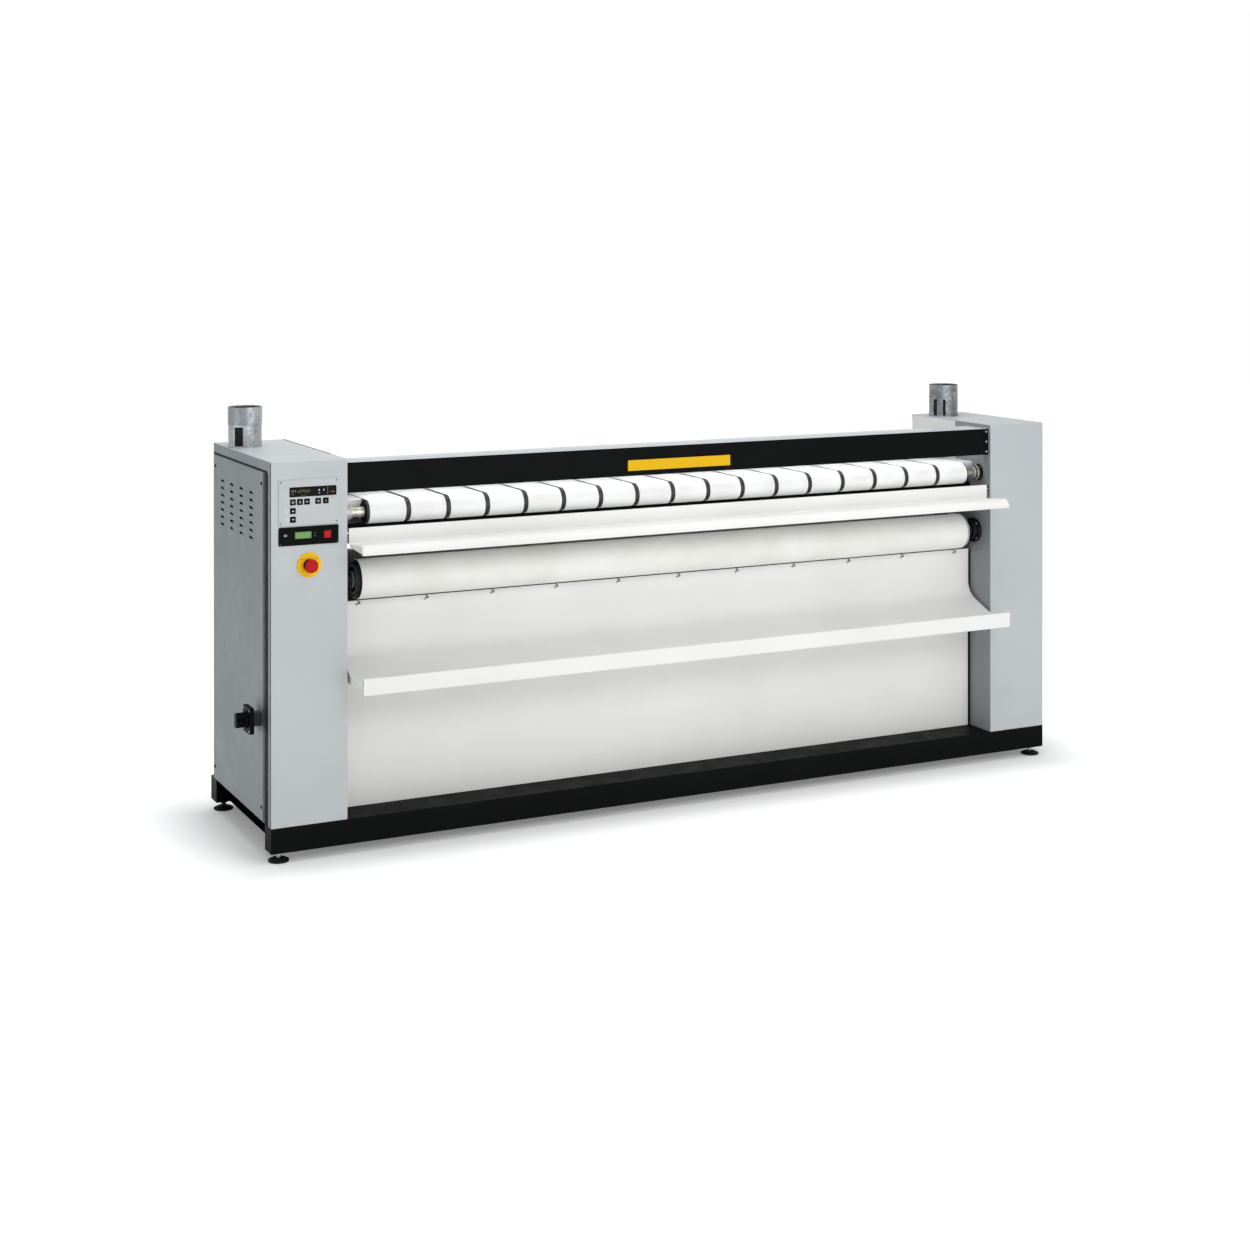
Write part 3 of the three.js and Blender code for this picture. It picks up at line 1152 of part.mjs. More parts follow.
function buildCylinder() {
  const left = INNER_LEFT + CYLINDER_INSET;
  const right = INNER_RIGHT - CYLINDER_INSET;
  const about = { y: 0, z: 0 };
  const wallEnd = INNER_RIGHT + SIDE_PLATE + BOSS_LENGTH + SHAFT_END;
  const drum = bar('x', left, right, CYLINDER_RADIUS, about, FINE_ROUND);
  const journal = bar('x', journalEnd(), wallEnd, JOURNAL_RADIUS, about);
  const wheel = prism(
    toothed(SPROCKET_RADIUS, SPROCKET_TEETH),
    SPROCKET_X - SPROCKET_WIDTH / 2, SPROCKET_X + SPROCKET_WIDTH / 2,
  );
  const inside = bar(
    'x', left + CYLINDER_END_PLATE, right - CYLINDER_END_PLATE,
    CYLINDER_RADIUS - CYLINDER_WALL, about, FINE_ROUND,
  );
  const bore = bar('x', journalEnd() - 1, wallEnd + 1, JOURNAL_BORE, about);
  add('heated_cylinder', carve([drum, journal, wheel], [inside, bore]), STEEL)
    .position.set(0, CYLINDER_AXIS.y, CYLINDER_AXIS.z);
}

function buildDrive() {
  const about = { y: 0, z: 0 };
  const mount = INNER_LEFT - SIDE_PLATE - GAP;
  const face = mount - GEARBOX_WIDTH;
  const half = GEARBOX_SIZE / 2;
  const shaftDepth = GEARBOX_WIDTH * 0.6;
  const motorAt = { x: mount - MOTOR_RADIUS, z: 0 };
  const motorEnd = LEFT_CABINET_DEPTH - SHEET - MOTOR_REAR_CLEARANCE - MOTOR_AXIS.y;
  add('gearmotor', carve([
    box(face, mount, -half, half, -half, half),
    bar('y', half - 1, motorEnd, MOTOR_RADIUS, motorAt),
  ], [
    bar('x', face - 1, face + shaftDepth + GAP, MOTOR_SHAFT_RADIUS + RUNNING_CLEARANCE, about),
  ]), CAST_GREY).position.set(0, MOTOR_AXIS.y, MOTOR_AXIS.z);

  const wheel = prism(
    toothed(MOTOR_SPROCKET_RADIUS, MOTOR_SPROCKET_TEETH),
    SPROCKET_X - SPROCKET_WIDTH / 2, SPROCKET_X + SPROCKET_WIDTH / 2,
  );
  const output = bar('x', SPROCKET_X - SPROCKET_WIDTH, face + shaftDepth, MOTOR_SHAFT_RADIUS, about);
  add('motor_sprocket', carve([wheel, output]), STEEL)
    .position.set(0, MOTOR_AXIS.y, MOTOR_AXIS.z);

  const stops = [
    stopAt(MOTOR_AXIS, MOTOR_SPROCKET_RADIUS + GAP * 2),
    stopAt(CYLINDER_AXIS, SPROCKET_RADIUS + GAP * 2),
  ];
  add('drive_chain', carve([
    belt(stops, CHAIN_THICKNESS, SPROCKET_X - SPROCKET_WIDTH / 2, SPROCKET_X + SPROCKET_WIDTH / 2),
  ]), STEEL);
}

/** A gas tube inside the cylinder, carried from the inner wall by a bracket round the sprocket. */
function buildBurner() {
  const about = { y: 0, z: 0 };
  const mount = INNER_LEFT - SIDE_PLATE - GAP;
  const plateRight = journalEnd() - BURNER_STANDOFF;
  const plateLeft = plateRight - BURNER_LEG / 2;
  const inner = SPROCKET_RADIUS + BURNER_LEG_SPACING;
  const outer = inner + BURNER_LEG;
  const closed = INNER_RIGHT - BURNER_END_GAP;
  add('burner_tube', carve([
    bar('x', plateLeft, closed, BURNER_RADIUS, about),
    box(plateLeft, plateRight, -outer, outer, -BURNER_RADIUS, BURNER_RADIUS),
    box(plateLeft, mount, inner, outer, -BURNER_RADIUS, BURNER_RADIUS),
    box(plateLeft, mount, -outer, -inner, -BURNER_RADIUS, BURNER_RADIUS),
  ], [
    bar('x', plateLeft - 1, closed - BURNER_LEG, BURNER_RADIUS - BURNER_WALL, about),
  ]), STEEL).position.set(0, CYLINDER_AXIS.y, CYLINDER_AXIS.z);
}

// ---------------------------------------------------------------- assembly
buildBase();
buildLeftCabinet();
buildRightCabinet();
add('left_exhaust_stack', stack(LEFT_STACK), GALVANISED);
add('right_exhaust_stack', stack(RIGHT_STACK), GALVANISED);
buildCovers();
buildShelf();
buildTray();
buildClipRail();
buildControls();
buildEmergencyStop();
buildIsolator();
buildRollers();
buildFeedBelts();
buildIroningBelt();
buildCylinder();
buildDrive();
buildBurner();

// The origin is the middle of the footprint, on the floor.
const leftmost = -(ISOLATOR_NECK_LENGTH + ISOLATOR_PLATE_THICKNESS + GAP + KNOB_LENGTH);
const foremost = trayCorners().floorEnd.y - TRAY_LIP_THICKNESS;
ironer.position.set(-(leftmost + MACHINE_WIDTH) / 2, -(foremost + REAR_EDGE) / 2, 0);

export default ironer;
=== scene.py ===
"""Dressed model of a flatwork ironer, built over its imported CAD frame.

Metres, row frame: +Z up, -Y towards the operator, +X from the control cabinet along the rollers.
"""

import math

import bmesh
import bpy
import numpy as np
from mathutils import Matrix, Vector
from mathutils.geometry import delaunay_2d_cdt


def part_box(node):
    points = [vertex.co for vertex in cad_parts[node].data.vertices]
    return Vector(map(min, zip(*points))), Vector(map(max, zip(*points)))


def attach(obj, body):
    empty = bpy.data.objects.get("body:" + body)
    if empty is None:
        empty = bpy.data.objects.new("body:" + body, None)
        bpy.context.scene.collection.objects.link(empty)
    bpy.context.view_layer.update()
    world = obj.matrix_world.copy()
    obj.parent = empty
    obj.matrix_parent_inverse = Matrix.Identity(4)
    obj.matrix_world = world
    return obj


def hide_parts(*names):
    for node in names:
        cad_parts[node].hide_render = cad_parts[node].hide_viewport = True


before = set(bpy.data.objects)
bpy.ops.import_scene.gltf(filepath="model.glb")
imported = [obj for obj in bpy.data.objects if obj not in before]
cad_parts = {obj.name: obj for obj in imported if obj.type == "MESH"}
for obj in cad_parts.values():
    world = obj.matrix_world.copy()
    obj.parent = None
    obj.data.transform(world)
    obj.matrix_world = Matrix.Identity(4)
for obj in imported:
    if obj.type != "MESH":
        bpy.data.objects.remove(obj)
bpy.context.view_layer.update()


def span(node):
    """The lowest and highest corners of a CAD node."""
    low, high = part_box(node)
    return np.array(low, float), np.array(high, float)


# ---------------------------------------------------------------- places, as in the CAD
SHEET = 0.0015
GAP = 0.0003
BEND = 0.0035  # outside radius of a cabinet's front bend
COVER_FLANGE = 0.015
REAR_BEND_LOSS = SHEET * 0.5585  # a cover's rear bend is this much shorter than its sharp corner

COVER_LOW, COVER_HIGH = span("left_front_cover")
RIGHT_LOW, RIGHT_HIGH = span("right_front_cover")
FRONT_Y = COVER_LOW[1]
BASE_TOP = span("front_beam")[1][2]
CABINET_TOP = COVER_HIGH[2]
OUTER_LEFT, INNER_LEFT = COVER_LOW[0], COVER_HIGH[0]
INNER_RIGHT, OUTER_RIGHT = RIGHT_LOW[0], RIGHT_HIGH[0]

FEED_AXIS = (-0.195, 0.967)
TAIL_AXIS = (-0.027, 0.980)
EXIT_AXIS = (-0.173, 0.769)
UPPER_REAR_AXIS = (0.155203, 0.958613)
LOWER_REAR_AXIS = (0.158203, 0.735)
CYLINDER_AXIS = (0.045603, 0.8476)
MOTOR_AXIS = (0.045603, 0.5316)
FEED_RADIUS, TAIL_RADIUS, EXIT_RADIUS = 0.033, 0.020, 0.056
UPPER_REAR_RADIUS, LOWER_REAR_RADIUS, CYLINDER_RADIUS = 0.025, 0.022, 0.125
SHAFT, REAR_SHAFT = 0.015, 0.010
BELT = 0.0016
BELT_CLEARANCE = 0.0004
ROLLER_LEFT, ROLLER_RIGHT, EXIT_RIGHT = -1.03585, 1.12215, 1.10115
FEED_BELT_START, FEED_BELT_PITCH, FEED_BELT_WIDTH, FEED_BELTS = -1.01015, 0.1246, 0.113, 17

LEFT_STACK = (-1.25585, 0.206)
RIGHT_STACK = (1.23815, 0.105)
STACK_RADIUS = 0.050
STOP = (-1.20385, 0.836)
ISOLATOR = (-0.154, 0.391)
FEET = ((-1.28285, -0.231), (-1.28285, 0.348), (1.35515, -0.231), (1.35515, 0.348))


# ---------------------------------------------------------------- finishes
def linear(hexadecimal):
    """An sRGB hex colour as linear RGBA: c / 12.92 below 0.04045, else ((c + 0.055) / 1.055) ^ 2.4."""
    values = [int(hexadecimal[i:i + 2], 16) / 255 for i in (1, 3, 5)]
    return [c / 12.92 if c <= 0.04045 else ((c + 0.055) / 1.055) ** 2.4 for c in values] + [1.0]


def put(tree, kind, inputs=None, **settings):
    """Adds one node. Settings are its own properties; an input is a value or another node's socket."""
    node = tree.nodes.new(kind)
    for name, value in settings.items():
        setattr(node, name, value)
    for name, value in (inputs or {}).items():
        if isinstance(value, bpy.types.NodeSocket):
            tree.links.new(value, node.inputs[name])
        else:
            node.inputs[name].default_value = value
    return node


def surface_of(name, roughness, metallic=0.0, **sockets):
    """A material with one Principled shader, its constant values on its own sockets, and the piece's
    own coordinates, which its patterns follow."""
    material = bpy.data.materials.new(name)
    material.use_nodes = True
    tree = material.node_tree
    shader = tree.nodes["Principled BSDF"]
    for socket, value in {"Roughness": roughness, "Metallic": metallic, **sockets}.items():
        shader.inputs[socket.replace("_", " ")].default_value = value
    return material, tree, put(tree, "ShaderNodeTexCoord").outputs["Object"]


def drifting(tree, position, size, low=0.0, high=1.0, detail=2.0, blend=(0.3, 0.7)):
    """A value that drifts between two limits over patches of the given real size."""
    noise = put(tree, "ShaderNodeTexNoise", {"Vector": position, "Scale": 1 / size, "Detail": detail})
    return put(tree, "ShaderNodeMapRange", {
        "Value": noise.outputs["Fac"], "From Min": blend[0], "From Max": blend[1],
        "To Min": low, "To Max": high}).outputs["Result"]


def mottled(tree, position, light, dark, size):
    """A colour that drifts between two shades over patches of the given real size."""
    share = drifting(tree, position, size, detail=3.0, blend=(0.35, 0.65))
    shades = {0: share, 6: linear(light), 7: linear(dark)}
    return put(tree, "ShaderNodeMix", shades, data_type="RGBA").outputs[2]


def finished(material, height, depth, color=None, sheen=None, over=None):
    """Links what varies over a surface to its shader: its colour, its roughness, and a bump of the
    given real depth, laid over another one if there is one."""
    tree = material.node_tree
    under = {} if over is None else {"Normal": over}
    bump = put(tree, "ShaderNodeBump", {"Height": height, "Distance": depth, **under})
    shader = tree.nodes["Principled BSDF"]
    for value, socket in ((color, "Base Color"), (sheen, "Roughness"), (bump.outputs["Normal"], "Normal")):
        if value is not None:
            tree.links.new(value, shader.inputs[socket])
    return material


def powder_coat(name, light, dark, roughness, peel=0.00005, gloss=0.5):
    """Polyester powder coat, sprayed and baked: an even colour with a faint orange peel of about
    2.5 mm, and a sheen that drifts slightly where the coat is thicker."""
    material, tree, position = surface_of(name, roughness, Specular_IOR_Level=gloss)
    grain = put(tree, "ShaderNodeTexNoise", {"Vector": position, "Scale": 1 / 0.0025, "Detail": 2.0})
    return finished(
        material, grain.outputs["Fac"], peel, mottled(tree, position, light, dark, 0.35),
        drifting(tree, position, 0.06, roughness - 0.05, roughness + 0.07))


def moulded(name, light, dark, roughness, grain=0.0008, depth=0.00003, **sockets):
    """Injection-moulded plastic: one colour through, with the fine spark-eroded grain of its mould.
    Cast metal has the same build, with the coarser grain of a sand mould."""
    material, tree, position = surface_of(name, roughness, **sockets)
    pits = put(tree, "ShaderNodeTexNoise", {"Vector": position, "Scale": 1 / grain, "Detail": 3.0})
    return finished(
        material, pits.outputs["Fac"], depth, mottled(tree, position, light, dark, 0.03),
        drifting(tree, position, 0.012, roughness * 0.85, roughness * 1.2))


def turned_steel(name, light, dark, roughness, groove, depth):
    """Steel turned on a lathe along X: fine rings round the bar, so that the light draws out along it."""
    material, tree, position = surface_of(name, roughness, 1.0)
    rings = put(tree, "ShaderNodeMapping", {
        "Vector": position, "Scale": (1 / groove, 3.0, 3.0)}).outputs["Vector"]
    lines = put(tree, "ShaderNodeTexNoise", {"Vector": rings, "Scale": 1.0, "Detail": 3.0})
    return finished(
        material, lines.outputs["Fac"], depth, mottled(tree, rings, light, dark, 2.0),
        drifting(tree, position, 0.02, roughness - 0.06, roughness + 0.1))


def galvanised_steel(name, shaded_side=False, dull="#92989b", bright="#b3b8ba", stained="#8b9092"):
    """Hot-dip galvanised sheet: zinc spangles of about 6 mm, each with its own tone and sheen, dulled
    in patches of about 35 mm. A sleeve with a shaded side also gets painted shade on the side that
    faces -X, away from the lamps, with a ragged border."""
    material, tree, position = surface_of(name, 0.42, 0.75)
    warp = put(tree, "ShaderNodeTexNoise", {"Vector": position, "Scale": 1 / 0.008, "Detail": 2.0})
    shifted = put(tree, "ShaderNodeMix", {
        0: 0.006, 4: position, 5: warp.outputs["Color"]}, data_type="VECTOR").outputs[1]
    spangle = put(tree, "ShaderNodeTexVoronoi", {"Vector": shifted, "Scale": 1 / 0.006})
    tone = put(tree, "ShaderNodeSeparateColor", {"Color": spangle.outputs["Color"]})
    stain = put(tree, "ShaderNodeTexNoise", {
        "Vector": position, "Scale": 1 / 0.035, "Detail": 6.0}).outputs["Fac"]
    share = put(tree, "ShaderNodeMapRange", {
        "Value": stain, "From Min": 0.45, "From Max": 0.65, "To Max": 0.6})
    layers = [(tone.outputs["Red"], bright), (share.outputs["Result"], stained)]
    if shaded_side:
        # Painted shade: the sleeve is darkened on its -X side, with a ragged border.
        across = put(tree, "ShaderNodeSeparateXYZ", {"Vector": position})
        ragged = put(tree, "ShaderNodeMath", {
            0: stain, 1: 0.022, 2: across.outputs["X"]}, operation="MULTIPLY_ADD")
        side = put(tree, "ShaderNodeMapRange", {
            "Value": ragged.outputs["Value"], "From Min": -1.237, "From Max": -1.257, "To Max": 0.65})
        layers.append((side.outputs["Result"], "#74787b"))
    color = linear(dull)
    for cover, shade in layers:
        shades = {0: cover, 6: color, 7: linear(shade)}
        color = put(tree, "ShaderNodeMix", shades, data_type="RGBA").outputs[2]
    sheen = put(tree, "ShaderNodeMapRange", {"Value": tone.outputs["Green"], "To Min": 0.3, "To Max": 0.55})
    return finished(material, spangle.outputs["Distance"], 0.00015, color, sheen.outputs["Result"])


def needled_felt():
    """Needle-punched polyester felt, the feed belts' cloth: matt white, with short fibres that lie in
    all directions. The 0.9 mm fibre clumps are drawn at 3 mm."""
    material, tree, position = surface_of(
        "needled_polyester_felt", 0.95, Sheen_Weight=0.25, Sheen_Roughness=0.6)
    fibre = put(tree, "ShaderNodeTexNoise", {
        "Vector": position, "Scale": 1 / 0.003, "Detail": 6.0, "Roughness": 0.7})
    return finished(material, fibre.outputs["Fac"], 0.00025,
                    mottled(tree, position, "#fbfbfb", "#f0f0ef", 0.09))


def woven_aramid():
    """Spun aramid ironing belt, plain weave: warm white and matt. Its threads are 1.2 mm apart, drawn
    at 3 mm, with slubs along them."""
    material, tree, position = surface_of(
        "woven_aramid_belt", 0.85, Sheen_Weight=0.2, Sheen_Roughness=0.5)
    cloth = put(tree, "ShaderNodeUVMap", uv_map="cloth").outputs["UV"]
    warp, weft = [put(tree, "ShaderNodeTexWave", {
        "Vector": cloth, "Scale": 1 / (0.003 * 6.283), "Distortion": 0.4, "Detail": 1.0},
        bands_direction=direction, wave_profile="SIN").outputs["Fac"] for direction in ("X", "Y")]
    weave = put(tree, "ShaderNodeMath", {0: warp, 1: weft}, operation="MAXIMUM")
    slub = put(tree, "ShaderNodeTexNoise", {"Vector": position, "Scale": 1 / 0.02, "Detail": 3.0})
    under = put(tree, "ShaderNodeBump", {"Height": slub.outputs["Fac"], "Distance": 0.00012})
    return finished(material, weave.outputs["Value"], 0.0002,
                    mottled(tree, position, "#f3f2ee", "#e9e8e3", 0.16), over=under.outputs["Normal"])


def glossy(name, color, roughness, **sockets):
    """A smooth film or lens: one clear colour, with the faint waviness of thin plastic and a gloss that
    fingers have dulled in places."""
    material, tree, position = surface_of(name, roughness, Base_Color=linear(color), **sockets)
    wave = put(tree, "ShaderNodeTexNoise", {"Vector": position, "Scale": 1 / 0.02, "Detail": 1.0})
    return finished(material, wave.outputs["Fac"], 0.00004,
                    sheen=drifting(tree, position, 0.012, roughness * 0.8, roughness * 1.25))


# Powder coats, satin to nearly matt: light grey fronts; the front grey darkened as painted shade on the
# sides, the back and the walls between the cabinets; and a white and a black that show no mirror image.
GREY_COAT = powder_coat("grey_powder_coat", "#babfc1", "#b4b9bc", 0.45)
SHADED_SIDE_COAT = powder_coat("shaded_side_grey_powder_coat", "#8b9194", "#858b8e", 0.55, gloss=0.3)
SHADED_WALL_COAT = powder_coat("shaded_wall_grey_powder_coat", "#919495", "#898c8e", 0.5)
WHITE_COAT = powder_coat("white_powder_coat", "#eeeeec", "#e8e8e6", 0.5, 0.00004, 0.2)
BLACK_COAT = powder_coat("black_powder_coat", "#050606", "#08090a", 0.5, gloss=0.05)
# Primer on the floor pans: matt, with no coat over it.
MATT_BLACK = powder_coat("matt_black_primer", "#040404", "#060606", 0.9, gloss=0.0)
GALVANISED = galvanised_steel("galvanised_steel")
# A sleeve with painted shade on its -X side, and an old spigot stained all over.
SIDE_SHADED_GALVANISED = galvanised_steel("side_shaded_galvanised_steel", shaded_side=True)
AGED_GALVANISED = galvanised_steel(
    "aged_galvanised_steel", dull="#70767a", bright="#9ca2a5", stained="#5c6164")
FELT = needled_felt()
ARAMID = woven_aramid()
# A dark, dull lining inside each flue: painted shade for the dark inside seen through the slots.
SHADE_LINING = moulded("painted_shade_lining", "#121314", "#1c1e20", 0.8, 0.004, 0.0002, Specular_IOR_Level=0.2)
# Ground carbon steel with a trace of oil: warm grey, bright along the bar.
SHAFT_STEEL = turned_steel("ground_shaft_steel", "#c6c3bb", "#a09d95", 0.42, 0.0012, 0.00003)
# Hard chrome on steel, polished by the linen: near mirror, with faint rings.
DRUM_CHROME = turned_steel("hard_chromed_drum", "#c9c9c6", "#aeadaa", 0.16, 0.003, 0.00001)
# Electro-galvanised fasteners: small, bright and slightly blue.
ZINC = turned_steel("zinc_plated_steel", "#c3c7ca", "#a2a6a9", 0.28, 0.0008, 0.00002)
# Nitrile rubber sleeves of the feed and exit rollers, ground round: dull black with a soft sheen.
ROLLER_RUBBER = moulded("nitrile_roller_rubber", "#1b1c1e", "#151617", 0.5, 0.002)
# Extruded EPDM seal: the deepest black, almost no gloss.
SEAL_RUBBER = moulded("epdm_seal_rubber", "#060707", "#0a0b0b", 0.75, 0.0015, Specular_IOR_Level=0.2)
# Grey cast iron under black stoving paint: uneven from the sand mould.
BLACK_IRON = moulded("painted_cast_iron", "#0c0d0e", "#131416", 0.5, 0.003, 0.0001, Specular_IOR_Level=0.2)
CAST_GREY = moulded("grey_painted_casting", "#70767a", "#646a6e", 0.5, 0.003, 0.0002)
# Bright cast steel rings and collars: they scatter more light than a ground bar does.
PALE_STEEL = moulded("bright_cast_steel", "#b9bab8", "#989997", 0.48, 0.002, 0.00004, metallic=0.55)
# Oil-tempered spring steel: dark wire with a narrow light line along it.
SPRING_STEEL = turned_steel("spring_steel_wire", "#4c4f52", "#33363a", 0.32, 0.0008, 0.00001)
# Glass-filled nylon, black: satin, with a visible mould grain.
NYLON = moulded("glass_filled_nylon", "#030404", "#060606", 0.5, 0.0012, Specular_IOR_Level=0.05)
# ABS mouldings, coloured through: a soft, even sheen.
DARK_ABS = moulded("dark_grey_moulded_abs", "#3d4245", "#363b3e", 0.5, Specular_IOR_Level=0.2)
RED_ABS = moulded("red_moulded_abs", "#b80f17", "#aa0c13", 0.45, Specular_IOR_Level=0.15)
YELLOW_ABS = moulded("yellow_moulded_abs", "#f6c400", "#eebb00", 0.5, Specular_IOR_Level=0.2)
# Matt silver polyester film over the key pad.
SILVER_FILM = glossy("silver_polyester_film", "#b9bdbf", 0.48)
# Acrylic, nearly black: the clear gloss of a polished window.
SMOKED_LENS = glossy("smoked_acrylic_lens", "#030304", 0.2, Specular_IOR_Level=0.05)
# A liquid crystal display and its segments: flat yellowish green under glass.
LCD_GREEN = glossy("transflective_lcd", "#639159", 0.3, Specular_IOR_Level=0.25)
LCD_INK = glossy("lcd_segment", "#8fa53c", 0.3, Specular_IOR_Level=0.25)
# Screen inks and lit dots: thin flat colour, slightly satin.
WHITE_INK = glossy("white_screen_ink", "#e6e8e9", 0.5)
GREY_INK = glossy("grey_screen_ink", "#a7aaac", 0.5)
AMBER_DOT = glossy("amber_display_dot", "#a3862c", 0.4)
# Polycarbonate lamp lenses: clear bright colour with a small highlight.
GREEN_LAMP = glossy("green_indicator_lens", "#3f9a3a", 0.3)
RED_LAMP = glossy("red_indicator_lens", "#d8241c", 0.3)
ORANGE_LAMP = glossy("orange_indicator_lens", "#e08a1e", 0.3)
# Blank vinyl strip, calendered: saturated yellow with a low gloss.
YELLOW_VINYL = glossy("yellow_vinyl_strip", "#e2b20c", 0.5, Specular_IOR_Level=0.15)


# ---------------------------------------------------------------- mesh making
WELD = 2e-6  # points closer together than this are one


def joined(*parts):
    """Several (points, faces) meshes as one, the later ones' face numbers moved up."""
    points, faces, count = [], [], 0
    for vertices, polygons in parts:
        points.append(vertices)
        faces.extend((np.asarray(polygon) + count).tolist() for polygon in polygons)
        count += len(vertices)
    return np.concatenate(points), faces


def surface(grid, wrap_u=False, wrap_v=False):
    """The points of a grid and its quads, closed from end to start along either way."""
    rows, columns = grid.shape[:2]
    index = np.arange(rows * columns).reshape(rows, columns)
    index = np.vstack([index, index[:1]]) if wrap_u else index
    index = np.hstack([index, index[:, :1]]) if wrap_v else index
    quads = np.stack([index[:-1, :-1], index[1:, :-1], index[1:, 1:], index[:-1, 1:]], axis=-1)
    return grid.reshape(-1, 3), quads.reshape(-1, 4)


def placed(name, data):
    """A new object in the scene, at the origin."""
    shown = bpy.data.objects.new(name, data)
    bpy.context.collection.objects.link(shown)
    return shown


def piece(name, mesh_parts, material, body="frame", stands_for=(), sharp=32.0, edge=0.0,
          metres_of_cloth=None):
    """A finished object: welded, its faces outwards, crisp where faces meet at more than `sharp`
    degrees, and with `edge` metres rounded off those edges if that is given."""
    points, faces = mesh_parts
    mesh = bpy.data.meshes.new(name)
    mesh.from_pydata(points.tolist(), [], [list(map(int, face)) for face in faces])
    if metres_of_cloth is not None:
        layer = mesh.uv_layers.new(name="cloth")
        corners = np.empty(len(mesh.loops), np.int32)
        mesh.loops.foreach_get("vertex_index", corners)
        layer.data.foreach_set("uv", metres_of_cloth[corners].ravel())
    welded = bmesh.new()
    welded.from_mesh(mesh)
    bmesh.ops.remove_doubles(welded, verts=welded.verts, dist=WELD)
    bmesh.ops.dissolve_degenerate(welded, dist=1e-6, edges=welded.edges)
    bmesh.ops.recalc_face_normals(welded, faces=welded.faces)
    welded.to_mesh(mesh)
    welded.free()
    mesh.polygons.foreach_set("use_smooth", np.ones(len(mesh.polygons), bool))
    mesh.set_sharp_from_angle(angle=math.radians(sharp))
    mesh.materials.append(material)
    shown = placed(name, mesh)
    if edge:
        rounded_off(shown, edge)
    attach(shown, body)
    if stands_for:
        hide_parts(*stands_for)
    return shown


def rounded_off(shown, width):
    """Rounds the edges at which faces meet at more than 40 degrees."""
    bevel = shown.modifiers.new("rounded_edges", "BEVEL")
    bevel.width = width
    bevel.segments = 2
    bevel.limit_method = "ANGLE"
    bevel.angle_limit = math.radians(40)
    bevel.harden_normals = True


def softened(node, material, edge):
    """A copy of a CAD piece: welded, its flat faces merged and its edges rounded off."""
    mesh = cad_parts[node].data
    welded = bmesh.new()
    welded.from_mesh(mesh)
    bmesh.ops.remove_doubles(welded, verts=welded.verts, dist=WELD)
    bmesh.ops.dissolve_limit(
        welded, angle_limit=math.radians(0.6), verts=welded.verts, edges=welded.edges)
    points = np.array([vertex.co[:] for vertex in welded.verts])
    welded.verts.index_update()
    faces = [[vertex.index for vertex in face.verts] for face in welded.faces]
    welded.free()
    return piece(node + "_finished", (points, faces), material, "frame", (node,), edge=edge)


def fillet(corners, closed=False, step=9.0):
    """Corners (a, b, radius) as a line in which each corner is an arc tangent to both of its sides:
    the arc's centre lies on the corner's bisector at radius / sin(half the angle)."""
    line = []
    count = len(corners)
    for number, (a, b, *rest) in enumerate(corners):
        radius = rest[0] if rest else 0.0
        if radius == 0.0 or (not closed and number in (0, count - 1)):
            line.append((a, b))
            continue
        here = np.array([a, b])
        back = np.array(corners[number - 1][:2]) - here
        ahead = np.array(corners[(number + 1) % count][:2]) - here
        back, ahead = back / np.linalg.norm(back), ahead / np.linalg.norm(ahead)
        half = math.acos(np.clip(back @ ahead, -1, 1)) / 2
        if half > 1.57:
            line.append((a, b))
            continue
        middle = (back + ahead) / np.linalg.norm(back + ahead)
        centre = here + middle * radius / math.sin(half)
        reach = radius / math.tan(half)
        start, end = here + back * reach - centre, here + ahead * reach - centre
        sweep = math.atan2(start[0] * end[1] - start[1] * end[0], start @ end)
        turn = np.linspace(0, sweep, max(2, math.ceil(abs(math.degrees(sweep)) / step)) + 1)
        corner = np.stack([
            start[0] * np.cos(turn) - start[1] * np.sin(turn),
            start[0] * np.sin(turn) + start[1] * np.cos(turn)], axis=-1) + centre
        line.extend(map(tuple, corner))
    return np.array(line)


def arc(a, b, radius, turn):
    """Points round (a, b) at the given turns: a + radius * cos(turn), b + radius * sin(turn)."""
    return np.stack([a + radius * np.cos(turn), b + radius * np.sin(turn)], axis=-1)


def rectangle(a0, b0, a1, b1, radii=0.0, step=9.0):
    """A rectangle between two corners as a closed line, its corners rounded by one radius or four."""
    radii = radii if isinstance(radii, tuple) else (radii,) * 4
    corners = zip((a0, a1, a1, a0), (b0, b0, b1, b1), radii)
    return fillet(list(corners), True, step)


def about(axis, along, first, second, centre):
    """Distances along an axis and in the two directions across it, as points round a centre."""
    order = {"x": (along, first, second), "y": (second, along, first), "z": (first, second, along)}[axis]
    return np.stack(order, axis=-1) + np.asarray(centre, float)


def turned(profile, centre, axis="x", segments=72, closed=False):
    """A profile of (radius, height) swept round an axis: along = height, and the other two
    directions are radius * cos(turn) and radius * sin(turn)."""
    radius, height = np.asarray(profile, float)[:, :2].T
    turn = np.linspace(0, 2 * np.pi, segments, endpoint=False)[:, None]
    first, second = radius * np.cos(turn), radius * np.sin(turn)
    along = np.broadcast_to(height, first.shape)
    return surface(about(axis, along, first, second, centre), wrap_u=True, wrap_v=closed)


def rod(axis, start, end, radius, centre, chamfer=0.0008, segments=48):
    """A solid bar with its end edges rounded."""
    profile = fillet([(0, start), (radius, start, chamfer), (radius, end, chamfer), (0, end)])
    return turned(profile, centre, axis, segments)


def ring(axis, start, end, inner, outer, centre, chamfer=0.0006, segments=72):
    """A ring or tube of rectangular section with rounded edges."""
    return turned(rectangle(inner, start, outer, end, chamfer), centre, axis, segments, closed=True)


def facing(axis, at, inward=1):
    """Lays a flat plate across an axis: its face at a place along it, its depth along it too, or
    against it where inward is -1."""
    return {
        "x": lambda y, z, depth: (at + inward * depth, y, z),
        "y": lambda x, z, depth: (x, at + inward * depth, z),
        "z": lambda x, y, depth: (x, y, at + inward * depth)}[axis]


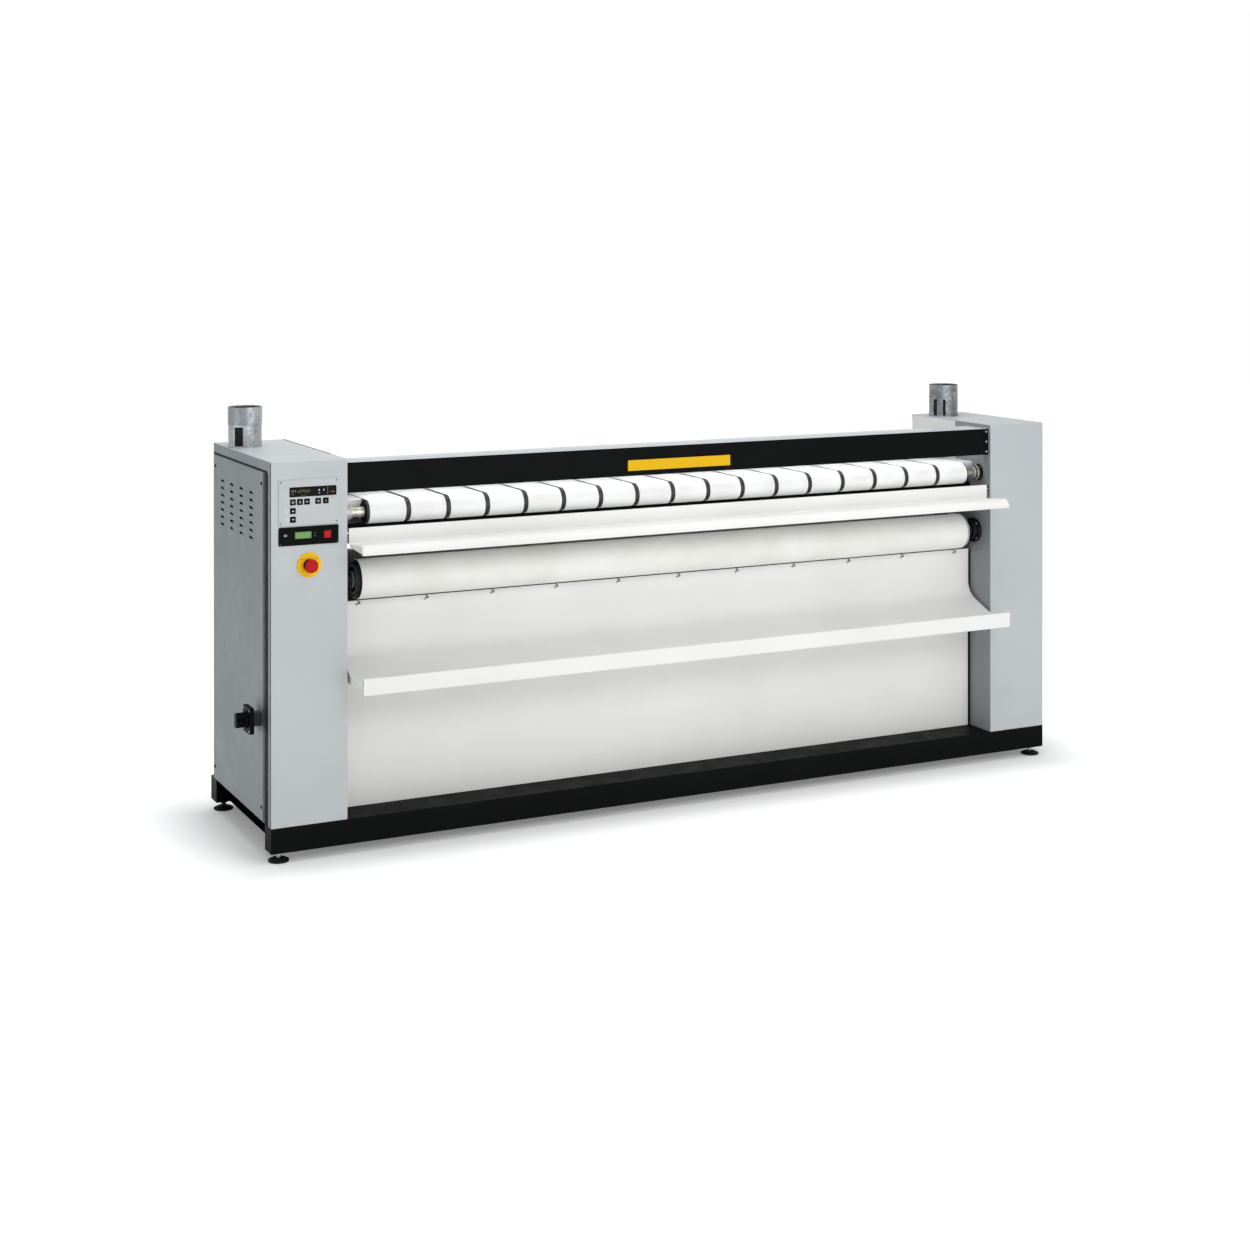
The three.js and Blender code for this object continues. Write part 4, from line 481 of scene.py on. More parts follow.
def within(points, loop):
    """Whether each point lies inside a loop: a ray along +a crosses its sides an odd number of times."""
    a, b = points[:, :1], points[:, 1:2]
    start, end = loop, np.roll(loop, -1, axis=0)
    rising = (start[:, 1] > b) != (end[:, 1] > b)
    fall = np.where(end[:, 1] == start[:, 1], 1.0, end[:, 1] - start[:, 1])
    crossing = (b - start[:, 1]) / fall * (end[:, 0] - start[:, 0]) + start[:, 0]
    return (rising & (a < crossing)).sum(axis=1) % 2 == 1


def plate(outline, thickness, place, holes=(), creases=()):
    """A sheet: a Delaunay net of its outline, holes and creases, laid on both faces by
    place(u, v, depth), with a wall along every side that only one triangle has."""
    loops = [np.asarray(loop, float)[:, :2] for loop in (outline, *holes)]
    lines = [np.asarray(crease, float) for crease in creases]
    edges, count = [], 0
    for loop in loops:
        number = np.arange(len(loop))
        edges += (np.stack([number, np.roll(number, -1)], axis=-1) + count).tolist()
        count += len(loop)
    for _ in lines:
        edges.append([count, count + 1])
        count += 2
    corners = np.concatenate(loops + lines)
    net = delaunay_2d_cdt([Vector(point) for point in corners.tolist()], edges, [], 0, 1e-7)
    nodes = np.array([point[:] for point in net[0]])
    triangles = np.array(net[2])
    middles = nodes[triangles].mean(axis=1)
    kept = within(middles, loops[0])
    for hole in loops[1:]:
        kept &= ~within(middles, hole)
    triangles = triangles[kept]
    sides = triangles[:, [0, 1, 1, 2, 2, 0]].reshape(-1, 2)
    size = len(nodes)
    rim = sides[~np.isin(sides[:, 0] * size + sides[:, 1], sides[:, 1] * size + sides[:, 0])]
    walls = np.column_stack([rim[:, 1], rim[:, 0], rim[:, 0] + size, rim[:, 1] + size])
    faces = triangles.tolist() + (triangles[:, ::-1] + size).tolist() + walls.tolist()
    u, v = nodes.T
    front = np.stack(np.broadcast_arrays(*place(u, v, 0.0)), axis=-1)
    back = np.stack(np.broadcast_arrays(*place(u, v, thickness)), axis=-1)
    return np.concatenate([front, back]), faces


def bent(path, thickness):
    """How a flat sheet (x, distance along the path) is folded: its outer face follows the path in Y-Z
    and its inner face lies to the path's left, mitred at each bend. Also the fold lines."""
    path = np.asarray(path, float)
    step = np.diff(path, axis=0)
    length = np.linalg.norm(step, axis=1)
    station = np.concatenate([[0], np.cumsum(length)])
    left = np.stack([-step[:, 1], step[:, 0]], axis=-1) / length[:, None]
    before, after = np.vstack([left[:1], left]), np.vstack([left, left[-1:]])
    mitre = before + after
    mitre /= np.linalg.norm(mitre, axis=1)[:, None]
    inner = path + mitre * thickness / (mitre * after).sum(axis=1)[:, None]

    def place(x, along, depth):
        share = depth / thickness
        y, z = [np.interp(along, station, path[:, way]) * (1 - share)
                + np.interp(along, station, inner[:, way]) * share for way in (0, 1)]
        return x, y, z

    return place, station


def folded(path, x0, x1, thickness=SHEET, corner=0.002, holes=(), corners=None):
    """A folded sheet from x0 to x1, its flat blank a rectangle with rounded corners."""
    place, station = bent(path, thickness)
    radii = corners or (corner,) * 4
    clear = max(radii) * 1.05
    creases = [((x0, at), (x1, at)) for at in station[1:-1] if clear < at < station[-1] - clear]
    return plate(rectangle(x0, 0, x1, station[-1], radii), thickness, place, holes, creases)


def round_hole(a, b, radius, count=48):
    """A circle as a closed line."""
    return arc(a, b, radius, np.linspace(0, 2 * np.pi, count, endpoint=False))


def slot_hole(a, b, width, height, radius):
    """A rectangular hole with rounded corners, centred on (a, b)."""
    w, h = width / 2, height / 2
    return rectangle(a - w, b - h, a + w, b + h, radius, 22)


def block(low, high, radius=0.001, steps=3):
    """A box with rounded edges: a point of a cube grid is pulled to the box that lies one radius
    inside, and pushed out from there by the radius."""
    low, high = np.asarray(low, float), np.asarray(high, float)
    middle, half = (low + high) / 2, (high - low) / 2
    radius = min(radius, half.min() * 0.95)
    out = radius * np.tan(np.linspace(0, np.pi / 4, steps + 1))
    parts = []
    for normal in range(3):
        a, b = (normal + 1) % 3, (normal + 2) % 3
        rows, columns = [np.concatenate([
            -(half[way] - radius + out[::-1]), half[way] - radius + out]) for way in (a, b)]
        for side in (-1.0, 1.0):
            grid = np.empty((len(rows), len(columns), 3))
            grid[..., normal] = side * half[normal]
            grid[..., a], grid[..., b] = rows[:, None], columns[None, :]
            core = np.clip(grid, -(half - radius), half - radius)
            push = grid - core
            grid = core + push * radius / np.linalg.norm(push, axis=-1, keepdims=True)
            parts.append(surface(grid + middle))
    return joined(*parts)


def wire(path, radius, sides=8):
    """A round wire along a line in space. Each ring is radius * (cos t * first + sin t * second), two
    directions across the line that are carried along it, so that the wire doesn't twist."""
    path = np.asarray(path, float)
    tangent = np.gradient(path, axis=0)
    tangent /= np.linalg.norm(tangent, axis=1)[:, None]
    turn = np.linspace(0, 2 * np.pi, sides, endpoint=False)[:, None]
    first = np.array([1.0, 0.1, 0.2])
    rings = []
    for number, (point, ahead) in enumerate(zip(path, tangent)):
        first = first - ahead * (first @ ahead)
        first /= np.linalg.norm(first)
        second = np.cross(ahead, first)
        size = radius * (0.35 if number in (0, len(path) - 1) else 1.0)
        rings.append(point + size * (np.cos(turn) * first + np.sin(turn) * second))
    points, quads = surface(np.stack(rings), wrap_v=True)
    last = len(path) * sides
    return points, quads.tolist() + [list(range(sides))[::-1], list(range(last - sides, last))]


def screw(centre, axis, out, radius=0.0035):
    """A pan-head screw: rings of falling radius and rising height, the last ones a hexagon socket
    whose radius is r / cos(angle to the middle of the hexagon's side)."""
    turn = np.linspace(0, 2 * np.pi, 24, endpoint=False)[:, None]
    hexagon = 0.4 / np.cos((turn + np.pi / 6) % (np.pi / 3) - np.pi / 6)
    height = np.array([-0.1, 0.35, 0.55, 0.62, 0.62, 0.2, 0.2]) * radius * out
    head = np.broadcast_to([1.0, 1.0, 0.82, 0.55], (24, 4))
    size = np.concatenate([head, hexagon, hexagon * 0.95, hexagon * 0], axis=1) * radius
    first, second = size * np.cos(turn), size * np.sin(turn)
    along = np.broadcast_to(height, size.shape)
    points, quads = surface(about(axis, along, first, second, centre), wrap_u=True)
    return points, quads.tolist() + [list(range(0, len(points), size.shape[1]))]


def screws(name, places, axis, out, radius, material):
    """Several screws of one kind as one piece."""
    return piece(name, joined(*[screw(place, axis, out, radius) for place in places]), material)


def belt_line(stops, outward, points=220):
    """A belt's closed line round circular stops (y, z, radius, side). Straight runs are the common
    tangents of neighbouring stops, and each stop is wrapped between the tangents that meet it, with
    so many points a full turn."""
    normals = []
    for number, (y, z, radius, side) in enumerate(stops):
        far_y, far_z, far_radius, far_side = stops[(number + 1) % len(stops)]
        away = np.hypot(far_y - y, far_z - z)
        rise = far_side * (far_radius + outward * far_side) - side * (radius + outward * side)
        normals.append(math.atan2(far_z - z, far_y - y) + math.acos(rise / away))
    line = []
    for number, (y, z, radius, side) in enumerate(stops):
        turn = np.pi if side > 0 else 0.0
        start, end = normals[number - 1] + turn, normals[number] + turn
        bare = ((end - start) * side) % (2 * np.pi)
        angle = start + side * bare * np.linspace(0, 1, int(points * bare / (2 * np.pi)) + 4)
        line.append(arc(y, z, radius + outward * side, angle))
    return line


def endless(stops, x0, x1, thickness, edge=0.0006):
    """A belt: its section, a thin rectangle with rounded edges, is (x, height); each of its points
    follows the belt's line at that height. Also each point's place on the cloth in metres."""
    section = rectangle(x0, 0, x1, thickness, edge, 30)
    counts = [len(wrap) for wrap in belt_line(stops, thickness)]
    rows = []
    for x, height in section:
        line = np.concatenate([
            wrap[np.round(np.linspace(0, len(wrap) - 1, count)).astype(int)]
            for wrap, count in zip(belt_line(stops, height), counts)])
        rows.append(np.column_stack([np.full(len(line), x), line]))
    grid = np.stack(rows)
    run = np.linalg.norm(np.diff(grid[0, :, 1:], axis=0, prepend=grid[0, :1, 1:]), axis=1).cumsum()
    cloth = np.stack([grid[..., 0], np.broadcast_to(run, grid.shape[:2])], axis=-1).reshape(-1, 2)
    return surface(grid, wrap_u=True, wrap_v=True), cloth


# ---------------------------------------------------------------- cabinets
def cabinet_cover(name, x0, x1, depth_y, holes):
    """Front and top of a cabinet in one bent sheet, from the base up and back to a rear flange. A
    hole's place on the flat sheet is measured from the nearer end of the sheet."""
    path = fillet([
        (FRONT_Y, BASE_TOP + GAP), (FRONT_Y, CABINET_TOP, BEND), (depth_y, CABINET_TOP, SHEET * 1.3),
        (depth_y, CABINET_TOP - COVER_FLANGE)])[::-1]
    total = bent(path, SHEET)[1][-1]
    loops = []
    for kind, x, along, *sizes in holes:
        if kind == "top":
            loops.append(round_hole(x, COVER_FLANGE + (depth_y - along) - REAR_BEND_LOSS, *sizes, 72))
        else:
            cut = slot_hole if kind == "front" else round_hole
            loops.append(cut(x, total - (along - BASE_TOP - GAP), *sizes))
    sheet = folded(path, x0, x1, holes=loops)
    return piece(name + "_finished", sheet, GREY_COAT, "frame", (name,), edge=0.0004)


def window(node, margin=0.005):
    """The hole behind a plate on the front, a margin smaller than the plate all round."""
    low, high = span(node)
    middle, size = (low + high) / 2, high - low
    return "front", middle[0], middle[2], size[0] - 2 * margin, size[2] - 2 * margin, 0.002


cabinet_cover("left_front_cover", OUTER_LEFT, INNER_LEFT, COVER_HIGH[1], [
    window("control_plate"), window("mode_plate"), ("round", STOP[0], STOP[1], 0.0134),
    ("top", *LEFT_STACK, STACK_RADIUS + 0.0006)])
cabinet_cover("right_front_cover", INNER_RIGHT, OUTER_RIGHT, RIGHT_HIGH[1], [
    ("top", *RIGHT_STACK, STACK_RADIUS + 0.0006)])

# The side and wall coats are the front grey darkened as painted shade.
for node, coat in (
        ("left_inner_wall", SHADED_WALL_COAT), ("right_inner_wall", SHADED_WALL_COAT), ("left_side_frame", SHADED_SIDE_COAT),
        ("left_rear_cover", SHADED_SIDE_COAT), ("right_side_cover", SHADED_SIDE_COAT), ("rear_cover", SHADED_SIDE_COAT),
        ("lower_front_panel", WHITE_COAT), ("right_liner", WHITE_COAT),
        ("front_beam", BLACK_COAT), ("rear_beam", BLACK_COAT),
        ("left_floor_pan", MATT_BLACK), ("right_floor_pan", MATT_BLACK),
        ("gearmotor", CAST_GREY), ("burner_tube", ZINC)):
    softened(node, coat, 0.0008 if node.endswith("beam") else 0.0004)


def louvred_panel():
    """The side panel: a sheet whose louvres are lanced and pressed in. A tongue starts in the sheet at
    its front end and sinks towards the back, depth = 7 mm * share ^ 1.3, so its open end faces the
    operator. A black mat behind them is painted shade for the dark inside seen through the louvres."""
    low, high = span("left_side_panel")
    columns, rows, width, height = 4, 7, 0.044, 0.0072
    first_y, column_pitch = FRONT_Y + 0.197, 0.103
    first_z, row_pitch = CABINET_TOP - 0.103, 0.0218
    sunk, hollow, thick = 0.0070, 0.0004, 0.0009
    holes, tongues = [], []
    share = np.linspace(0, 1, 9)[:, None]
    across = np.linspace(-1, 1, 5)[None, :]
    for column in range(columns):
        y = first_y + column * column_pitch
        for row in range(rows):
            middle = first_z - row * row_pitch - height / 2
            holes.append(slot_hole(y, middle, width, height, 0.0024))
            outer = np.stack(np.broadcast_arrays(
                low[0] + 0.0001 + sunk * share ** 1.3 + hollow * across ** 2,
                y - width * 0.47 + share * width * 0.86,
                middle + across * (0.0033 - 0.0006 * (1 - share) ** 6)), axis=-1)
            tongues.append(thickened(outer, outer + np.array([thick, 0, 0])))
    # Painted shade: a black mat behind the louvres.
    shade_mat_low = (low[0] + 0.0090, first_y - 0.04, first_z - rows * row_pitch - 0.01)
    shade_mat_high = (low[0] + 0.0120, first_y + (columns - 1) * column_pitch + 0.04, first_z + 0.02)
    piece("louvre_shade_mat", block(shade_mat_low, shade_mat_high, 0.001), SEAL_RUBBER)
    holes.append(slot_hole(*ISOLATOR, 0.0376, 0.0376, 0.002))
    face = plate(rectangle(*low[1:], *high[1:], 0.003), SHEET, facing("x", low[0]), holes)
    back, (y0, z0), (y1, z1) = low[0] + 0.0004, low[1:], high[1:]
    short = 0.004  # the flanges end this far from the panel's corners
    flanges = [block((back, *start), (high[0], *end), 0.0004) for start, end in (
        ((y0, z0 + short), (y0 + SHEET, z1 - short)), ((y1 - SHEET, z0 + short), (y1, z1 - short)),
        ((y0 + short, z0), (y1 - short, z0 + SHEET)), ((y0 + short, z1 - SHEET), (y1 - short, z1)))]
    # The side panel's coat is the front grey darkened as painted shade.
    piece("left_side_panel_finished", joined(face, *flanges, *tongues), SHADED_SIDE_COAT, "frame",
          ("left_side_panel",))


def thickened(outer, inner):
    """A closed shell between two grids of the same size, with walls round their edges."""
    rows, columns = outer.shape[:2]
    front, quads = surface(outer)
    back, _ = surface(inner)
    index = np.arange(rows * columns).reshape(rows, columns)
    border = np.concatenate([index[0], index[1:, -1], index[-1, -2::-1], index[-2:0:-1, 0]])
    following = np.roll(border, -1)
    walls = np.column_stack([border, following, following + rows * columns, border + rows * columns])
    return (np.concatenate([front, back]),
            quads.tolist() + (quads[:, ::-1] + rows * columns).tolist() + walls.tolist())


def door_seal():
    """The seal beside and above the side panel: one flat piece of rubber, its edges rounded."""
    low, high = span("left_side_seal")
    front, rear, bottom, top = low[1], high[1], low[2], high[2]
    inner, line = FRONT_Y + 0.0462, 0.0057
    outline = fillet([
        (front, bottom), (front, top, 0.010), (rear, top), (rear, top - line),
        (inner, top - line), (inner, bottom)], True)
    piece("left_side_seal_finished", plate(outline, high[0] - low[0], facing("x", low[0])), SEAL_RUBBER,
          "frame", ("left_side_seal",), edge=0.0008)


def door_edge():
    """The seal's lip laps over the stile's edge and the panel's joint, and a dark strip over the panel's
    edge holds it. A bead lies along the top. A black strip in the joint between the side and the front,
    and another in the joint along the top, are painted shade."""
    low, high = span("left_side_seal")
    outer, inner = OUTER_LEFT - 0.0007, low[0] + 0.0008
    bottom, top = low[2] + 0.001, high[2] - 0.0085
    lip = block((outer, FRONT_Y + 0.0285, bottom), (inner, FRONT_Y + 0.0580, top), 0.0004)
    bead = block((outer, FRONT_Y + 0.0380, high[2] - 0.0068), (inner, high[1] - 0.014, high[2] + 0.0004),
                 0.0003)
    piece("left_seal_lip", joined(lip, bead), SEAL_RUBBER)
    strip = block((outer - 0.0003, FRONT_Y + 0.0584, bottom), (inner, FRONT_Y + 0.0790, top), 0.0005)
    piece("left_door_edge", strip, DARK_ABS)
    # Painted shade: black strips in the side-front joint and in the top joint.
    tape = block((OUTER_LEFT - 0.0002, FRONT_Y + 0.0032, BASE_TOP + 0.001),
                 (OUTER_LEFT + 0.001, FRONT_Y + 0.0085, CABINET_TOP - 0.004), 0.0002)
    along = block((INNER_LEFT - 0.0045, -0.115, CABINET_TOP - 0.0005),
                  (INNER_LEFT - 0.0008, COVER_HIGH[1] - 0.003, CABINET_TOP + 0.0006), 0.0003)
    piece("left_joint_shade_strips", joined(tape, along), SEAL_RUBBER)


louvred_panel()
door_seal()
door_edge()


# ---------------------------------------------------------------- stacks
def galvanised_stack(node, centre, sleeve, slots, tabs, steel):
    """A rolled tube cut from a flat blank (turn, height), closed at its seam, with its slots and foot
    tabs, both placed by their turn in degrees. A dark lining inside it is painted shade, and a sleeve
    may be pushed over its top."""
    low, high = span(node)
    seat, count, size = CABINET_TOP + GAP, 96, 2 * np.pi * STACK_RADIUS
    around = [size * k / count for k in range(1, count)]
    holes = [
        slot_hole(turn % 360 / 360 * size, seat + 0.0315, width, 0.057, 0.0015) for turn, width in slots]
    z0, z1 = low[2], high[2]
    marked = [0, *around, size]
    blank = [(u, z0) for u in marked] + [(u, z1) for u in marked[::-1]]
    creases = []
    for u in around:
        crossed = [hole for hole in holes if hole[:, 0].min() - 1e-4 < u < hole[:, 0].max() + 1e-4]
        if crossed:
            lower, upper = crossed[0][:, 1].min(), crossed[0][:, 1].max()
            creases += [((u, z0), (u, lower - 0.0006)), ((u, upper + 0.0006), (u, z1))]
        else:
            creases.append(((u, z0), (u, z1)))

    def rolled(u, z, depth):
        turn, radius = u / STACK_RADIUS, STACK_RADIUS - depth
        return centre[0] + radius * np.cos(turn), centre[1] + radius * np.sin(turn), z

    points, faces = plate(blank, SHEET, rolled, holes, creases)
    parts = [(points, [face for face in faces if not seam(points, face, centre)])]
    middle = (*centre, 0)
    if sleeve:
        # The sleeve carries painted shade on its -X side.
        piece(node + "_sleeve", ring("z", z1 - 0.054, z1, STACK_RADIUS + 0.0001, STACK_RADIUS + SHEET,
                                     middle, 0.0005, 96), SIDE_SHADED_GALVANISED)
    # Painted shade: a dark lining inside the tube, seen through the slots.
    piece(node + "_shade_lining", ring("z", z0 + 0.002, z1 - 0.004, STACK_RADIUS - 0.0035, STACK_RADIUS - 0.0020,
                               middle, 0.0004, 96), SHADE_LINING)
    parts += [stack_tab(centre, seat, math.radians(turn)) for turn in tabs]
    piece(node + "_finished", joined(*parts), steel, "frame", (node,), sharp=40)


def seam(points, face, centre):
    """Whether a wall lies on the rolled tube's seam, where the blank's two ends meet."""
    corners = points[list(face)]
    level = (np.abs(corners[:, 1] - centre[1]) < 1e-6).all()
    return len(face) == 4 and level and (corners[:, 0] > centre[0]).all()


def stack_tab(centre, seat, turn):
    """A foot tab bent out of the tube: rounded end, up against the tube through a 3 mm bend."""
    half, thick = 0.006, SHEET * 0.8
    place, station = bent(fillet([(0.0, 0.012), (0.0, 0.0, 0.003), (0.0118, 0.0)])[::-1], thick)
    blank = rectangle(-half, 0, half, station[-1], (0.004, 0.004, 0.001, 0.001))
    creases = [((-half, at), (half, at)) for at in station[1:-1] if at > 0.0042]

    def laid(u, along, depth):
        side, out, up = place(u, along, depth)
        out = STACK_RADIUS + 0.0002 + out
        return (centre[0] + out * np.cos(turn) - side * np.sin(turn),
                centre[1] + out * np.sin(turn) + side * np.cos(turn), seat + up + 0.0001)

    return plate(blank, thick, laid, (), creases)


galvanised_stack("left_exhaust_stack", LEFT_STACK, True, [(-128, 0.027)], (45, 135, 208, 315), GALVANISED)
galvanised_stack("right_exhaust_stack", RIGHT_STACK, False, [(-160, 0.014), (-122, 0.009)],
                 (45, 135, 225, 315), AGED_GALVANISED)


# ---------------------------------------------------------------- fascia, hood, shelf and tray
def strip_of(node, path, coat):
    """A CAD piece as a folded sheet of the piece's own length."""
    low, high = span(node)
    sheet = folded(path, low[0], high[0], corner=0.0008)
    return piece(node + "_finished", sheet, coat, "frame", (node,), edge=0.0004)


FASCIA_LOW, FASCIA_HIGH = span("fascia")
FASCIA_Y = FASCIA_LOW[1]
strip_of("fascia", fillet([
    (FASCIA_Y, FASCIA_HIGH[2]), (FASCIA_Y, FASCIA_LOW[2], 0.003),
    (FASCIA_HIGH[1], FASCIA_LOW[2])]), BLACK_COAT)

HOOD_LOW, HOOD_HIGH = span("hood")
HOOD_REAR = span("upper_rear_roller")[1][2] + BELT + BELT_CLEARANCE + 0.005
HOOD_FRONT_FLANGE, HOOD_REAR_FLANGE, HOOD_TOP_DEPTH = 0.020, 0.015, 0.125
strip_of("hood", fillet([
    (HOOD_HIGH[1], HOOD_REAR - HOOD_REAR_FLANGE), (HOOD_HIGH[1], HOOD_REAR, 0.0025),
    (FRONT_Y + HOOD_TOP_DEPTH, HOOD_HIGH[2], 0.008), (HOOD_LOW[1], HOOD_HIGH[2], 0.0025),
    (HOOD_LOW[1], HOOD_HIGH[2] - HOOD_FRONT_FLANGE)]), GREY_COAT)

SHELF_LOW, SHELF_HIGH = span("feed_shelf")
SHELF_LEFT, SHELF_RIGHT = INNER_LEFT + 0.008, INNER_RIGHT - 0.008
SHELF_BACK, SHELF_TOP, SHELF_FOLD = -0.252, 0.930, 0.885
SHELF_NOSE = SHELF_HIGH[2] - 0.045 + 0.014  # the top of its nose, a bend of 25 mm radius
SHELF_RETURN = 0.012  # the flange under the nose
SHELF_FACE = SHELF_BACK + 0.0001
piece("feed_shelf_finished", folded(fillet([
    (SHELF_BACK, SHELF_TOP), (SHELF_BACK, SHELF_FOLD, 0.0022), (SHELF_LOW[1], SHELF_NOSE, 0.025),
    (SHELF_LOW[1], SHELF_LOW[2], 0.0022), (SHELF_LOW[1] + SHELF_RETURN, SHELF_LOW[2])]),
    SHELF_LEFT, SHELF_RIGHT, corners=(0.002, 0.002, 0.003, 0.003)), WHITE_COAT, "frame", ("feed_shelf",),
    edge=0.0004)
piece("feed_shelf_brackets", joined(*[
    block((x0, SHELF_FACE, SHELF_TOP - 0.021), (x1, SHELF_BACK + 0.003, SHELF_TOP - 0.003), 0.0006)
    for x0, x1 in ((INNER_LEFT + GAP, SHELF_LEFT + 0.001), (SHELF_RIGHT - 0.001, INNER_RIGHT - GAP))]),
    BLACK_IRON)
gusset = fillet([
    (SHELF_BACK - 0.0015, 0.8825), (SHELF_BACK - 0.0015, 0.8765, 0.001),
    (SHELF_LOW[1] + 0.0020, SHELF_LOW[2] + 0.0018, 0.001),
    (SHELF_LOW[1] + 0.0020, SHELF_NOSE - 0.0030, 0.012)], True)
piece("feed_shelf_ends", joined(*[
    plate(gusset, SHEET, facing("x", x)) for x in (SHELF_LEFT + 0.0030, SHELF_RIGHT - 0.0030 - SHEET)]),
    WHITE_COAT, edge=0.0004)

TRAY_LEFT, TRAY_RIGHT = INNER_LEFT + 0.009, INNER_RIGHT - 0.009
TRAY_TOP = span("delivery_tray")[1][2]
TRAY_BACK = -0.149
TRAY_BEND = 0.060
LIP_BACK, LIP_FRONT, LIP_TOP, LIP_FOOT = -0.370, -0.379, 0.522, 0.474


def delivery_tray():
    """The tray: wall, two 60 mm bends, floor and a folded lip in one sheet. A gusset at each end
    follows the sheet's middle line, and a black rubber strip in the gap between each end and the
    cabinet is painted shadow."""
    wall = [(TRAY_BACK - SHEET, TRAY_TOP), (TRAY_BACK, TRAY_TOP - 0.026), (TRAY_BACK, 0.555, TRAY_BEND),
            (-0.270, 0.505, TRAY_BEND), (LIP_BACK, 0.495, 0.0018)]
    lip = [(LIP_BACK, LIP_TOP, 0.002), (LIP_FRONT, LIP_TOP, 0.003), (LIP_FRONT, LIP_FOOT, 0.003),
           (-0.363, LIP_FOOT)]
    corners = (0.003, 0.003, 0.009, 0.009)
    parts, edges = [folded(fillet(wall + lip, step=6), TRAY_LEFT, TRAY_RIGHT, corners=corners)], []
    below = fillet([(TRAY_BACK, 0.615)] + wall[2:] + [(LIP_BACK, 0.52)], step=6)[:-1]
    place, station = bent(below, SHEET)
    _, line_y, line_z = place(0.0, station, SHEET * 0.5)
    outline = np.concatenate([np.stack([line_y, line_z], axis=-1)[:-1], [
        (-0.361, 0.485), (-0.244, 0.485), (TRAY_BACK + 0.0007, 0.525), (TRAY_BACK + 0.0007, 0.614)]])
    for x, inward, cabinet in ((TRAY_LEFT, 1, INNER_LEFT), (TRAY_RIGHT, -1, INNER_RIGHT)):
        parts.append(plate(outline, SHEET, facing("x", x + inward * 0.0001, inward)))
        start, end = sorted((cabinet + inward * GAP, x - inward * 0.0002))
        # Painted shadow: a black strip fills the gap between each end of the tray and the cabinet.
        edges.append(block((start, TRAY_BACK + 0.0006, BASE_TOP + 0.002),
                           (end, TRAY_BACK + 0.003, TRAY_TOP - 0.004), 0.0006))
    piece("tray_end_shade_strips", joined(*edges), SEAL_RUBBER)
    piece("delivery_tray_finished", joined(*parts), WHITE_COAT, "frame", ("delivery_tray",), edge=0.0004)


def tray_clips():
    """Spring wire clips hooked on the rod behind the tray's top edge. Each wire comes over the edge,
    runs down in front of the wall and doubles back in an S. A rubber strip covers the edge."""
    rod_y, rod_z = TRAY_BACK + SHEET + GAP + 0.0025, TRAY_TOP - 0.0084
    over, front = TRAY_TOP + 0.0013, TRAY_BACK - SHEET - 0.0018
    hook = fillet([
        (rod_y + 0.0012, rod_z - 0.003), (rod_y + 0.0012, over, 0.0022), (front, over, 0.0020),
        (front, TRAY_TOP - 0.003)], step=30)
    curl = fillet([
        (0.0, TRAY_TOP - 0.003), (0.0, TRAY_TOP - 0.0066, 0.0020), (0.0062, TRAY_TOP - 0.0066, 0.0020),
        (0.0062, TRAY_TOP - 0.0112, 0.0020), (-0.0045, TRAY_TOP - 0.0112, 0.0020),
        (-0.0045, TRAY_TOP - 0.0165)], step=30)[1:]
    path = np.concatenate([
        np.column_stack([np.zeros(len(hook)), hook]),
        np.column_stack([curl[:, 0], np.full(len(curl), front), curl[:, 1]])])
    clips, inset = 11, 0.061
    pitch = (TRAY_RIGHT - TRAY_LEFT - 2 * inset) / (clips - 1)
    wires = [wire(path + np.array([TRAY_LEFT + inset + number * pitch, 0, 0]), 0.0012)
             for number in range(clips)]
    rail = rod("x", TRAY_LEFT, TRAY_RIGHT, 0.0025, (0, rod_y, rod_z), 0.0004, 24)
    piece("clip_rail_finished", joined(rail, *wires), SPRING_STEEL, "frame", ("clip_rail",))
    top = TRAY_BACK - SHEET
    piece("tray_top_edging", block(
        (TRAY_LEFT + 0.002, top - 0.0006, TRAY_TOP - 0.0016),
        (TRAY_RIGHT - 0.002, top + SHEET + 0.0004, TRAY_TOP + 0.0002), 0.0003), SEAL_RUBBER)


delivery_tray()
tray_clips()


# ---------------------------------------------------------------- rollers, belts and bearings
WALL_LEFT, WALL_RIGHT = INNER_LEFT - 0.005, INNER_RIGHT + 0.005
SHAFT_ENDS = (WALL_LEFT - 0.026, WALL_RIGHT + 0.026)


def on(axis):
    """A point on a shaft's centre line, from its (y, z)."""
    return (0.0, *axis)


def barrel(name, axis, body, start, end, radius, material, segments=72):
    """A roller's barrel, its end edges rounded by 2 mm. It stands for the whole roller of the CAD."""
    profile = fillet([(0.004, start), (radius, start, 0.002), (radius, end, 0.002), (0.004, end)], step=18)
    return piece(name, turned(profile, on(axis), segments=segments), material, body, (body,))


def shaft(body, axis, steps, material=SHAFT_STEEL):
    """A stepped bar: (start, end, radius) runs from left to right, each shoulder chamfered."""
    corners = [(0, steps[0][0])]
    for start, end, radius in steps:
        corners += [(radius, start, 0.0007), (radius, end, 0.0007)]
    corners.append((0, steps[-1][1]))
    return piece(body + "_shaft", turned(fillet(corners, step=30), on(axis)), material, body)


def stepped(larger, inset):
    """The runs of a shaft that is thicker between its bearings than in them."""
    left, right = INNER_LEFT + inset, INNER_RIGHT - inset
    thin = SHAFT - 0.0003
    return [(SHAFT_ENDS[0], left, thin), (left, right, larger), (right, SHAFT_ENDS[1], thin)]


def rings(name, axis, body, material, *sizes):
    """Rings on a shaft as one piece, each (start, end, inner radius, outer radius, chamfer)."""
    return piece(name, joined(*[
        ring("x", start, end, inner, outer, on(axis), *chamfer)
        for start, end, inner, outer, *chamfer in sizes]), material, body)


